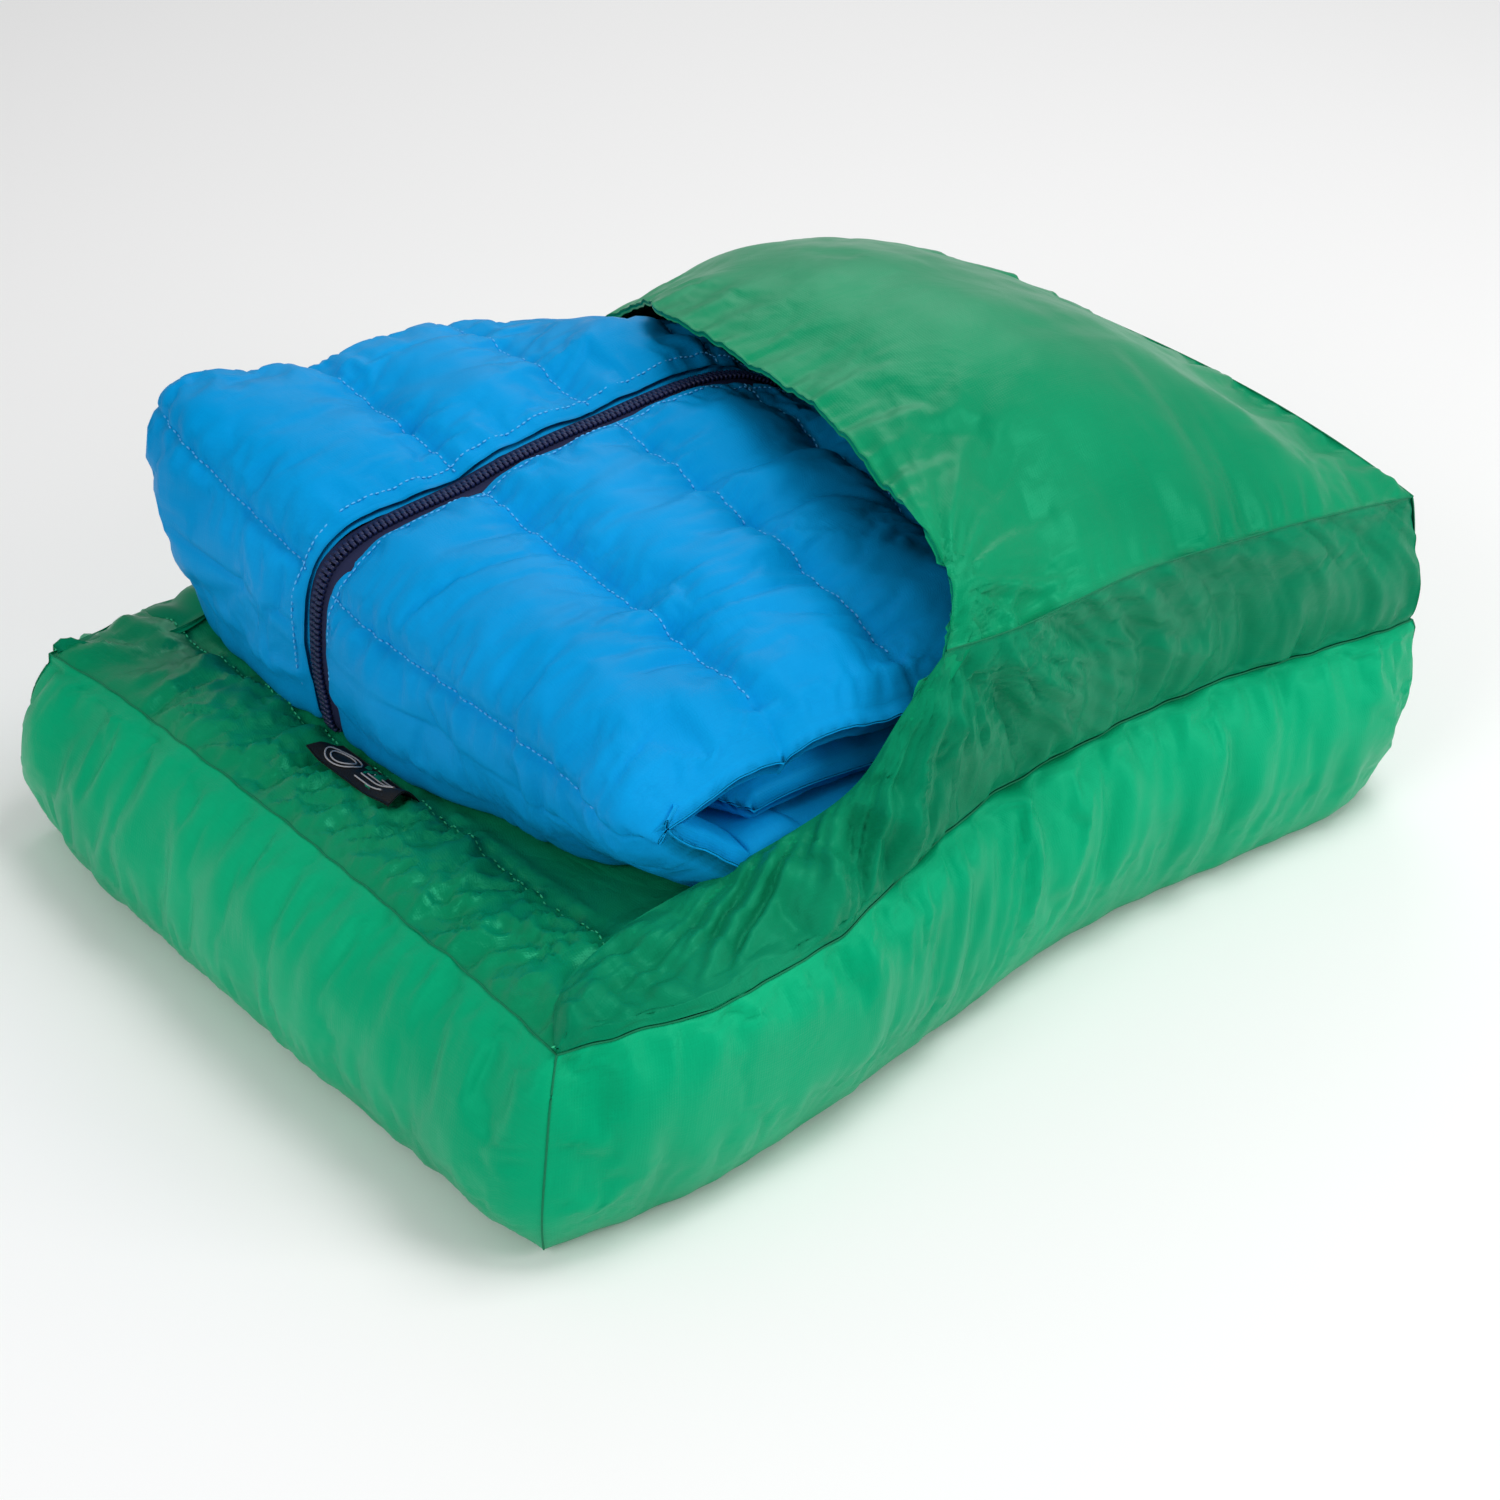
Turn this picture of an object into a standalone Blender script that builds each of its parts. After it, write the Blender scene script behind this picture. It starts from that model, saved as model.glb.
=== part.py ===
"""Camp sleep set: a boxed down pillow whose sewn-on stuff sleeve holds a folded, zipped down quilt.

Metres, +Z up. +X runs to the sleeve's closed end, -X to its mouth, and the origin is the
middle of the pillow's underside. Every sub-part is one closed body in its own object.
"""

import math

import bmesh
import bpy

# ---- driving dimensions -------------------------------------------------------------------
GAP = 0.0003                 # clearance between two pieces that touch
FABRIC = 0.001               # a sewn panel with its seam allowance

PILLOW_LENGTH = 0.48
PILLOW_WIDTH = 0.364
SEAM_HEIGHT = 0.0855         # height of the pillow's upper edge seam
WALL_BELLY = 0.010           # how far the side walls swell past their seams
FILLING_BELLY = 0.0070       # the same for the down inside them
EDGE_CHAMBER = 0.057         # from the mouth-end seam to the first quilting line
INNER_CHAMBERS = 3
CROWN_RATIO = 0.026          # crown of a pillow chamber over its width

LABEL_LENGTH = 0.058
LABEL_WIDTH = 0.020
LABEL_THICKNESS = 0.0008
LABEL_CENTRE_Y = 0.004

GUSSET_HEIGHT = 0.062        # sleeve wall at the closed end
GUSSET_RISE = 0.026          # how much higher the sleeve wall is beside the quilt
END_LEAN = 0.006             # the closed end leans in by this at its top
DOME_HEIGHT = 0.074          # crest of the sleeve's top panel above its side seams
DOME_END = 0.014             # the same, at the closed end
DOME_FROM = -0.158           # the crest climbs from here
DOME_TOP_FROM = 0.090        # to here,
DOME_TOP_TO = 0.105          # and falls from here to the closed end
RISE_FROM = 0.06             # the side wall is at its highest up to here
HEM_WIDTH = 0.012
HEM_THICKNESS = 0.0015
MOUTH_FRONT_X = -0.035       # where the mouth's edge crosses the front side seam
MOUTH_MIDDLE_X = 0.002
MOUTH_BACK_X = 0.050
FRONT_HEM_FOOT = 0.028       # height of the hem above the pillow seam, low on the front wall
BACK_HEM_FOOT = 0.012
HEM_CORNER = 0.004           # the mouth's edge starts this far from the pillow's end
HEM_CLIMB = 0.016            # the edge gains this where it turns up to the top panel

QUILT_FRONT_Y = -0.155
QUILT_BACK_Y = 0.163
QUILT_INNER_X = 0.190        # the folded quilt's end inside the sleeve
QUILT_NOSE_X = -0.181
QUILT_HEIGHT = 0.105         # top of the folded stack above the pillow, at its thickest
QUILT_INNER_HEIGHT = 0.072   # the same, where the slider runs inside the sleeve
CHANNEL_PITCH = 0.077        # between two sewn lines of the quilt
FIRST_LINE = 0.066           # along the shell, from the pillow up to the first sewn line
LAYER = 0.026                # thickness of one folded layer
BOTTOM_LAYER = 0.024
FOLDED_CHANNELS = 5          # sewn channels in each layer folded in under the outermost
END_ROUNDING = 0.010         # how far a channel's end is rounded off
MIDDLE_SETBACK = 0.006       # the folded-in layers end this short of the outermost
BOTTOM_SETBACK = 0.002
CHANNEL_CROWN = 0.004
CHANNEL_GAP = 0.0009         # the sewn line between two channels
LIFT_TO = -0.11              # the back edge is lifted up to here,
LIFT_NONE = 0.05             # and no longer from here on
BACK_LIFT = 0.34             # the stack is this share taller at its back edge
FRONT_DROP = 0.24            # and this share lower at its front edge
SLEEVE_DROP = 0.24           # inside the sleeve both edges are this share lower

ZIP_Y = 0.045
ZIP_DEPTH = 0.004            # the tape's middle below the quilt's face
TOOTH_GAP = 0.0016           # between the two rows, where the slider's post runs
TOOTH_ROW = 0.0024
TOOTH_HEIGHT = 0.0024
TAPE_WIDTH = 0.0035
TAPE_THICKNESS = 0.0008
ZIP_START = 0.003            # the zip begins this far along the shell,
ZIP_END = 0.0055             # and ends this far from its inner end
STOP_LENGTH = 0.003
SLIDER_X = 0.165
SLIDER_LENGTH = 0.010
SLIDER_PLATE = 0.001
SLIDER_LIP = 0.0007
PULL_LENGTH = 0.020
PULL_WIDTH = 0.005
PULL_BAR = 0.001
BAIL_WIDTH = 0.0016
BAIL_REACH = 0.003           # half the bail's length
BAIL_HOLE = 0.0015           # half the length of the hole under it
BAIL_BAR = 0.0009            # its thickness over the hole
EYE_WALL = 0.001             # room between the bail's end and the pull's eye
EYE_SIDE = 0.0004            # and at its sides

# ---- worked-out sizes ---------------------------------------------------------------------
HALF_LENGTH = PILLOW_LENGTH / 2
HALF_WIDTH = PILLOW_WIDTH / 2
INSET = FABRIC + GAP
QUILT_BASE = SEAM_HEIGHT + CROWN_RATIO * (PILLOW_LENGTH - 2 * EDGE_CHAMBER) / INNER_CHAMBERS + GAP
ZIP_HALF = TOOTH_GAP / 2 + TOOTH_ROW + GAP + TAPE_WIDTH + GAP
SLEEVE_END_X = HALF_LENGTH - END_LEAN


# ---- helpers ------------------------------------------------------------------------------
def smooth(low, high, value):
    """0 below low, 1 above high, an S-curve between."""
    share = min(1.0, max(0.0, (value - low) / (high - low)))
    return share * share * (3 - 2 * share)


def spaced(low, high, count):
    """count + 1 values from low to high."""
    return [low + (high - low) * i / count for i in range(count + 1)]


def through(points, per_span):
    """A smooth open curve through points (Catmull-Rom), with per_span steps in each span."""
    ends = [points[0]] + list(points) + [points[-1]]
    curve = []
    for a, b, c, d in zip(ends, ends[1:], ends[2:], ends[3:]):
        for i in range(per_span):
            t = i / per_span
            curve.append(tuple(
                0.5 * (2 * q + (r - p) * t + (2 * p - 5 * q + 4 * r - s) * t * t
                       + (3 * q - p - 3 * r + s) * t ** 3)
                for p, q, r, s in zip(a, b, c, d)))
    curve.append(tuple(points[-1]))
    return curve


def height_at(curve, x):
    """Second value of a curve at its first value x; the curve runs to +X."""
    for (xa, za), (xb, zb) in zip(curve, curve[1:]):
        if xa <= x <= xb:
            return za + (zb - za) * (x - xa) / max(xb - xa, 1e-9)
    return curve[0][1] if x < curve[0][0] else curve[-1][1]


def material(name, colour, roughness, metallic=0.0):
    made = bpy.data.materials.new(name)
    made.use_nodes = True
    shader = made.node_tree.nodes["Principled BSDF"]
    shader.inputs["Base Color"].default_value = (*colour, 1.0)
    shader.inputs["Roughness"].default_value = roughness
    shader.inputs["Metallic"].default_value = metallic
    made.diffuse_color = (*colour, 1.0)
    return made


def body(name, points, faces, finish):
    """One object from points and outward faces."""
    mesh = bpy.data.meshes.new(name)
    mesh.from_pydata([tuple(p) for p in points], [], faces)
    mesh.materials.append(finish)
    mesh.validate()
    made = bpy.data.objects.new(name, mesh)
    bpy.context.scene.collection.objects.link(made)
    return made


def loft(name, rings, finish):
    """A closed body through rings of the same number of points, capped at both ends.

    Seen from the first ring towards the last, each ring runs clockwise.
    """
    size = len(rings[0])
    points = [p for ring in rings for p in ring]
    faces = []
    for r in range(len(rings) - 1):
        for i in range(size):
            a = r * size + i
            b = r * size + (i + 1) % size
            faces.append((a, b, b + size, a + size))
    faces.append(tuple(range(size - 1, -1, -1)))
    last = (len(rings) - 1) * size
    faces.append(tuple(range(last, last + size)))
    made = body(name, points, faces, finish)
    outward(made)
    return made


def outward(made):
    """Turn a closed body's faces to point out."""
    work = bmesh.new()
    work.from_mesh(made.data)
    bmesh.ops.recalc_face_normals(work, faces=work.faces)
    if work.calc_volume(signed=True) < 0:
        bmesh.ops.reverse_faces(work, faces=work.faces)
    work.to_mesh(made.data)
    work.free()


def slab(name, grid, offset, finish):
    """A closed sheet: a grid of points, and the same grid moved by offset."""
    rows = len(grid)
    columns = len(grid[0])
    outer = [p for row in grid for p in row]
    inner = [tuple(c + o for c, o in zip(p, offset)) for p in outer]
    total = rows * columns
    faces = []
    for r in range(rows - 1):
        for c in range(columns - 1):
            a = r * columns + c
            quad = (a, a + 1, a + columns + 1, a + columns)
            faces.append(quad)
            faces.append(tuple(i + total for i in reversed(quad)))
    rim = list(range(columns))
    rim += [r * columns + columns - 1 for r in range(1, rows)]
    rim += [(rows - 1) * columns + c for c in range(columns - 2, -1, -1)]
    rim += [r * columns for r in range(rows - 2, 0, -1)]
    for a, b in zip(rim, rim[1:] + rim[:1]):
        faces.append((b, a, a + total, b + total))
    made = body(name, outer + inner, faces, finish)
    outward(made)
    return made


def box(name, low, high, finish):
    """A rectangular block between two corners."""
    ring = [(low[1], low[2]), (low[1], high[2]), (high[1], high[2]), (high[1], low[2])]
    return loft(name, [[(x, y, z) for y, z in ring] for x in (low[0], high[0])], finish)


def combine(made, tool, operation):
    """Join or cut a body with a hidden tool."""
    tool.hide_render = True
    tool.display_type = 'WIRE'
    change = made.modifiers.new(operation.lower(), 'BOOLEAN')
    change.operation = operation
    change.object = tool
    change.solver = 'EXACT'


# ---- finishes -----------------------------------------------------------------------------
def finishes():
    return {
        "green": material("pillow_shell", (0.0, 0.36, 0.16), 0.42),
        "dark_green": material("sleeve_shell", (0.0, 0.24, 0.12), 0.38),
        "blue": material("quilt_shell", (0.0, 0.20, 0.75), 0.5),
        "down": material("down_fill", (0.85, 0.85, 0.83), 0.95),
        "baffle": material("baffle_mesh", (0.75, 0.78, 0.76), 0.8),
        "navy": material("zip_tape", (0.02, 0.03, 0.08), 0.85),
        "tooth": material("zip_teeth", (0.02, 0.03, 0.07), 0.35),
        "label": material("woven_label", (0.01, 0.012, 0.015), 0.7),
        "slider": material("zip_slider", (0.02, 0.03, 0.06), 0.35, 0.6),
    }


# ---- pillow -------------------------------------------------------------------------------
def quilting_lines():
    """X of the pillow's sewn lines, its two end seams included."""
    inner = spaced(-HALF_LENGTH + EDGE_CHAMBER, HALF_LENGTH - EDGE_CHAMBER, INNER_CHAMBERS)
    return [-HALF_LENGTH] + inner + [HALF_LENGTH]


def pillow_top(x, y):
    """Height of the pillow's upper face: crowned chambers between sewn lines."""
    lines = quilting_lines()
    crown = 0.0
    for a, b in zip(lines, lines[1:]):
        if a <= x <= b:
            crown = CROWN_RATIO * (b - a) * math.sin(math.pi * (x - a) / (b - a))
    across = min(1.0, abs(y) / HALF_WIDTH)
    return SEAM_HEIGHT + crown * (1 - across ** 6)


def belly(z, along, half, swell=WALL_BELLY):
    """Outward swell of a side wall, at height z and distance along from its middle."""
    share = min(1.0, abs(along) / half)
    rise = math.sin(math.pi * min(1.0, max(0.0, z / SEAM_HEIGHT)))
    return swell * rise * (1 - share ** 4)


def pillow_panels(finish):
    heights = spaced(0.0, SEAM_HEIGHT - FABRIC - GAP, 6)
    end = HALF_LENGTH - INSET
    for name, side in (("pillow_front_wall", -1), ("pillow_back_wall", 1)):
        grid = [[(x, side * (HALF_WIDTH + belly(z, x, HALF_LENGTH)), z)
                 for x in spaced(-end, end, 28)] for z in heights]
        slab(name, grid, (0, -side * FABRIC, 0), finish)
    for name, side in (("pillow_mouth_end_wall", -1), ("pillow_closed_end_wall", 1)):
        grid = [[(side * (HALF_LENGTH + belly(z, y, HALF_WIDTH)), y, z)
                 for y in spaced(-HALF_WIDTH, HALF_WIDTH, 10)] for z in heights]
        slab(name, grid, (-side * FABRIC, 0, 0), finish)

    rim_x = HALF_LENGTH - INSET
    rim_y = HALF_WIDTH - INSET
    box("pillow_bottom_panel", (-rim_x, -rim_y, 0.0), (rim_x, rim_y, FABRIC), finish)

    stations = []
    lines = quilting_lines()
    for a, b in zip(lines, lines[1:]):
        stations += spaced(a, b, 6)[:-1]
    stations.append(lines[-1])
    grid = [[(x, y, pillow_top(x, y)) for x in stations]
            for y in spaced(-HALF_WIDTH, HALF_WIDTH, 10)]
    slab("pillow_top_panel", grid, (0, 0, -FABRIC), finish)


def pillow_section(x):
    """The inside of the pillow at x, as a ring in the YZ plane."""
    low = FABRIC + GAP
    sides = spaced(low, SEAM_HEIGHT - INSET - GAP, 6)
    swell = [belly(z, x, HALF_LENGTH, FILLING_BELLY) for z in sides]
    ring = [(x, HALF_WIDTH - INSET + out, z) for out, z in zip(swell, sides)]
    across = spaced(HALF_WIDTH - INSET, -HALF_WIDTH + INSET, 10)[1:-1]
    ring += [(x, y, pillow_top(x, y) - INSET) for y in across]
    ring += [(x, -y, z) for _, y, z in reversed(ring[:len(sides)])]
    return ring


def pillow_filling(down, mesh_cloth):
    lines = quilting_lines()
    for k, (a, b) in enumerate(zip(lines, lines[1:]), start=1):
        low = a + (INSET if k == 1 else FABRIC / 2 + GAP)
        high = b - (INSET if k == len(lines) - 1 else FABRIC / 2 + GAP)
        loft(f"pillow_down_{k}", [pillow_section(x) for x in spaced(low, high, 6)], down)
    for k, x in enumerate(lines[1:-1], start=1):
        rings = [pillow_section(x - FABRIC / 2), pillow_section(x + FABRIC / 2)]
        loft(f"pillow_baffle_{k}", rings, mesh_cloth)


def label(finish):
    seam_x = quilting_lines()[1]
    rows = spaced(seam_x - LABEL_WIDTH, seam_x - GAP, 4)
    ends = spaced(LABEL_CENTRE_Y - LABEL_LENGTH / 2, LABEL_CENTRE_Y + LABEL_LENGTH / 2, 6)
    grid = [[(x, y, pillow_top(x, y) + GAP) for y in ends] for x in rows]
    slab("sewn_label", grid, (0, 0, LABEL_THICKNESS), finish)


# ---- stuff sleeve -------------------------------------------------------------------------
def side_seam(x):
    """Height of the seam between the sleeve's side wall and its top panel."""
    end = SEAM_HEIGHT + GUSSET_HEIGHT
    return end + GUSSET_RISE * (1 - smooth(RISE_FROM, SLEEVE_END_X, x))


def dome(x, y):
    """Height of the sleeve's top panel."""
    rise = smooth(DOME_FROM, DOME_TOP_FROM, x)
    fall = smooth(DOME_TOP_TO, SLEEVE_END_X, x)
    crest = DOME_HEIGHT * rise * (1 - fall) + DOME_END * fall
    return side_seam(x) + crest * (1 - min(1.0, abs(y) / HALF_WIDTH) ** 2.4)


def mouth_x(y):
    """Where the mouth's edge lies on the top panel."""
    if y < 0:
        return MOUTH_MIDDLE_X + (MOUTH_FRONT_X - MOUTH_MIDDLE_X) * (abs(y) / HALF_WIDTH) ** 2
    return MOUTH_MIDDLE_X + (MOUTH_BACK_X - MOUTH_MIDDLE_X) * smooth(0.0, HALF_WIDTH, y)


def mouth_on_wall(side):
    """The mouth's edge on a side wall, from its foot at the corner up to the top panel."""
    top_x = MOUTH_FRONT_X if side < 0 else MOUTH_BACK_X
    foot = FRONT_HEM_FOOT if side < 0 else BACK_HEM_FOOT
    start = -HALF_LENGTH + HEM_CORNER
    reach = top_x - start
    low = SEAM_HEIGHT + 2 * GAP
    top = side_seam(top_x)
    return through([(start, low + 2 * FABRIC), (start + 0.40 * reach, low + 0.9 * foot),
                    (start + 0.76 * reach, low + foot + HEM_CLIMB), (top_x, top)], 5)


def hem_shift():
    """How the hem's seam lies from the mouth's edge on a side wall."""
    slant = HEM_WIDTH / math.sqrt(2)
    return slant, -slant


def sleeve_wall(name, side, finish):
    edge = mouth_on_wall(side)
    along, down = hem_shift()
    floor = SEAM_HEIGHT + GAP
    step_x = edge[-1][0] + HEM_WIDTH + GAP
    seam = [(x + along, z + down - GAP) for x, z in edge if z + down - GAP > floor + FABRIC]
    seam = [(x, z) for x, z in seam if x < step_x - GAP]
    upper = seam + [(step_x, seam[-1][1])]
    upper += [(x, side_seam(x) - INSET - GAP) for x in spaced(step_x, SLEEVE_END_X - INSET - 2 * GAP, 12)]
    lower = [(x, floor) for x, _ in upper]
    outer = side * HALF_WIDTH
    inner = side * (HALF_WIDTH - FABRIC)
    ring = upper + [(HALF_LENGTH - INSET - GAP, floor)] + list(reversed(lower[:-1]))
    loft(name, [[(x, y, z) for x, z in ring] for y in (outer, inner)], finish)


def sleeve(light, dark):
    sleeve_wall("sleeve_front_wall", -1, dark)
    sleeve_wall("sleeve_back_wall", 1, dark)

    floor = SEAM_HEIGHT + GAP
    top = SEAM_HEIGHT + GUSSET_HEIGHT - INSET
    grid = []
    for z in spaced(floor, top, 3):
        lean = END_LEAN * (z - floor) / (top - floor)
        grid.append([(HALF_LENGTH - lean, y, z) for y in spaced(-HALF_WIDTH, HALF_WIDTH, 8)])
    slab("sleeve_end_wall", grid, (-FABRIC, 0, 0), dark)

    grid = []
    for y in spaced(-HALF_WIDTH, HALF_WIDTH, 16):
        start = mouth_x(y) + HEM_WIDTH + GAP
        grid.append([(x, y, dome(x, y)) for x in spaced(start, SLEEVE_END_X, 12)])
    slab("sleeve_top_panel", grid, (0, 0, -FABRIC), light)


def mouth_hem(finish):
    """The turned facing round the mouth: front wall, top panel, back wall."""
    along, down = hem_shift()
    floor = SEAM_HEIGHT + GAP

    def wall_rings(side):
        rings = []
        for x, z in mouth_on_wall(side)[:-1]:
            edge_z = max(z, floor + FABRIC)
            seam_z = max(z + down, floor)
            outer = side * HALF_WIDTH
            inner = side * (HALF_WIDTH - HEM_THICKNESS)
            rings.append([(x, outer, edge_z), (x + along, outer, seam_z),
                          (x + along, inner, seam_z), (x, inner, edge_z)])
        return rings

    rings = wall_rings(-1)
    for y in spaced(-HALF_WIDTH, HALF_WIDTH, 16):
        x = mouth_x(y)
        pull_in = HEM_THICKNESS * (y / HALF_WIDTH) ** 9
        outer = [(x, y, dome(x, y)), (x + HEM_WIDTH, y, dome(x + HEM_WIDTH, y))]
        inner = [(px, py - pull_in, pz - HEM_THICKNESS) for px, py, pz in reversed(outer)]
        rings.append(outer + inner)
    rings += list(reversed(wall_rings(1)))
    loft("mouth_hem", rings, finish)


# ---- folded quilt -------------------------------------------------------------------------
def shell_path():
    """The quilt's outer face along the zip, from the pillow round the nose to the inner end."""
    base = QUILT_BASE
    top = base + QUILT_HEIGHT
    inner = base + QUILT_INNER_HEIGHT
    nose = QUILT_NOSE_X
    return through([
        (nose + 0.010, base), (nose, base + 0.32 * QUILT_HEIGHT),
        (nose + 0.006, base + 0.62 * QUILT_HEIGHT), (nose + 0.042, top - 0.012),
        (nose + 0.080, top - 0.001), (nose + 0.150, top),
        (nose + 0.230, inner + 0.007), (0.080, inner), (0.130, inner), (QUILT_INNER_X, inner),
    ], 10)


def along_shell():
    """Shell points, their distance from the start, and their outward directions."""
    points = shell_path()
    distance = [0.0]
    for a, b in zip(points, points[1:]):
        distance.append(distance[-1] + math.dist(a, b))
    normals = []
    for i in range(len(points)):
        a = points[max(0, i - 1)]
        b = points[min(len(points) - 1, i + 1)]
        length = math.dist(a, b)
        normals.append((-(b[1] - a[1]) / length, (b[0] - a[0]) / length))
    return points, distance, normals


def shell_at(where, depth):
    """The point at distance where along the shell, depth below its face."""
    points, distance, normals = along_shell()
    where = min(max(where, 0.0), distance[-1])
    for i in range(len(points) - 1):
        if where <= distance[i + 1]:
            break
    share = (where - distance[i]) / (distance[i + 1] - distance[i])
    mix = [
        (a + (b - a) * share, c + (d - c) * share)
        for a, b, c, d in zip(points[i], points[i + 1], normals[i], normals[i + 1])
    ]
    return mix[0][0] - depth * mix[0][1], mix[1][0] - depth * mix[1][1]


def stack(x, y, z):
    """Towards the nose the stack rises to its back edge; in the sleeve both edges drop."""
    if y > ZIP_Y:
        across = (y - ZIP_Y) / (QUILT_BACK_Y - ZIP_Y)
        at_nose = BACK_LIFT * across
    else:
        across = (ZIP_Y - y) / (ZIP_Y - QUILT_FRONT_Y)
        at_nose = -FRONT_DROP * across
    inside = smooth(LIFT_TO, LIFT_NONE, x)
    share = at_nose * (1 - inside) - SLEEVE_DROP * across * inside
    return x, y, QUILT_BASE + (z - QUILT_BASE) * (1 + share)


def sewn_lines():
    """Distances of the quilt's sewn lines along the shell."""
    total = along_shell()[1][-1]
    lines = [0.0, FIRST_LINE]
    while lines[-1] + CHANNEL_PITCH < total - CHANNEL_PITCH / 3:
        lines.append(lines[-1] + CHANNEL_PITCH)
    return lines + [total]


def channel(name, ring_of, low_y, high_y, finish):
    """A down channel: ring_of(squeeze) outlines it in XZ, and its two ends are rounded off."""
    soft = END_ROUNDING
    stops = [(low_y, 1.0), (low_y + 0.3 * soft, 0.45)]
    stops += [(y, 0.0) for y in sorted(spaced(low_y + soft, high_y - soft, 3) + [ZIP_Y])
              if low_y < y < high_y]
    stops += [(high_y - 0.3 * soft, 0.45), (high_y, 1.0)]
    rings = [[stack(x, y, z) for x, z in ring_of(squeeze)] for y, squeeze in stops]
    loft(name, rings, finish)


def upper_channels(finish):
    """The outermost layer, parted by the zip into front and back channels."""
    lines = sewn_lines()
    for k, (a, b) in enumerate(zip(lines, lines[1:]), start=1):
        low = a + CHANNEL_GAP / 2
        high = b - CHANNEL_GAP / 2

        def ring(squeeze, low=low, high=high):
            outer = []
            for s in spaced(low, high, 6):
                puff = CHANNEL_CROWN * math.sin(math.pi * (s - low) / (high - low))
                outer.append(shell_at(s, CHANNEL_CROWN - puff + 0.22 * LAYER * squeeze))
            inner = [shell_at(s, LAYER * (1 - 0.22 * squeeze)) for s in spaced(high, low, 6)]
            ring_points = outer + inner
            return [(x, max(z, QUILT_BASE)) for x, z in ring_points]

        channel(f"quilt_front_channel_{k}", ring, QUILT_FRONT_Y, ZIP_Y - ZIP_HALF, finish)
        channel(f"quilt_back_channel_{k}", ring, ZIP_Y + ZIP_HALF, QUILT_BACK_Y, finish)


def inner_space():
    """Room under the outermost layer: X of the nose's inner face, and the underside's curve."""
    total = along_shell()[1][-1]
    depth = LAYER + 2 * GAP
    points = [shell_at(s, depth) for s in spaced(0.0, total, 60)]
    front = max(x for x, z in points if z < QUILT_BASE + BOTTOM_LAYER)
    ceiling = []
    for x, z in points:
        if z > QUILT_BASE + BOTTOM_LAYER and (not ceiling or x > ceiling[-1][0]):
            ceiling.append((x, z))
    return front, ceiling


def folded_layers(finish):
    """The two layers folded in under the outermost one, in sewn channels."""
    front, ceiling = inner_space()
    split = QUILT_BASE + BOTTOM_LAYER
    start = front + 2 * GAP
    lines = spaced(start, QUILT_INNER_X, FOLDED_CHANNELS)
    inset = 2 * GAP
    for k, (a, b) in enumerate(zip(lines, lines[1:]), start=1):
        stations = spaced(a + inset / 2, b - inset / 2, 5)

        def middle(squeeze, stations=stations):
            low = split + inset + 0.004 * squeeze
            high = [(x, max(height_at(ceiling, x) - inset - 0.006 * squeeze, low + 0.002))
                    for x in stations]
            return high + [(x, low) for x in reversed(stations)]

        def bottom(squeeze, stations=stations):
            low = QUILT_BASE + 0.005 * squeeze
            high = [(x, min(split, height_at(ceiling, x) - inset) - 0.005 * squeeze)
                    for x in stations]
            return high + [(x, low) for x in reversed(stations)]

        channel(f"quilt_middle_channel_{k}", middle, QUILT_FRONT_Y + MIDDLE_SETBACK,
                QUILT_BACK_Y - MIDDLE_SETBACK, finish)
        channel(f"quilt_bottom_channel_{k}", bottom, QUILT_FRONT_Y + BOTTOM_SETBACK,
                QUILT_BACK_Y - BOTTOM_SETBACK, finish)


# ---- zip ----------------------------------------------------------------------------------
def zip_strip(name, near, far, thickness, finish):
    """A band along the shell between two distances across from the zip's middle."""
    total = along_shell()[1][-1]
    rings = []
    for s in spaced(ZIP_START, total - ZIP_END - 2 * GAP, 44):
        top = shell_at(s, ZIP_DEPTH - thickness / 2)
        low = shell_at(s, ZIP_DEPTH + thickness / 2)
        rings.append([(top[0], ZIP_Y + near, top[1]), (top[0], ZIP_Y + far, top[1]),
                      (low[0], ZIP_Y + far, low[1]), (low[0], ZIP_Y + near, low[1])])
    loft(name, rings, finish)


def zip_fastener(tape, tooth, metal):
    row_near = TOOTH_GAP / 2
    row_far = row_near + TOOTH_ROW
    tape_near = row_far + GAP
    tape_far = tape_near + TAPE_WIDTH
    stop_x = QUILT_INNER_X - ZIP_END - GAP
    middle = QUILT_BASE + QUILT_INNER_HEIGHT - ZIP_DEPTH
    for side_name, side in (("front", -1), ("back", 1)):
        zip_strip(f"zip_teeth_{side_name}", side * row_near, side * row_far,
                  TOOTH_HEIGHT, tooth)
        zip_strip(f"zip_tape_{side_name}", side * tape_near, side * tape_far,
                  TAPE_THICKNESS, tape)
        low_y = min(side * row_near, side * row_far)
        high_y = max(side * row_near, side * row_far)
        box(f"zip_end_stop_{side_name}",
            (stop_x, ZIP_Y + low_y, middle - TOOTH_HEIGHT / 2),
            (stop_x + STOP_LENGTH, ZIP_Y + high_y, middle + TOOTH_HEIGHT / 2), metal)
    slider(middle, row_far, metal)


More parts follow.
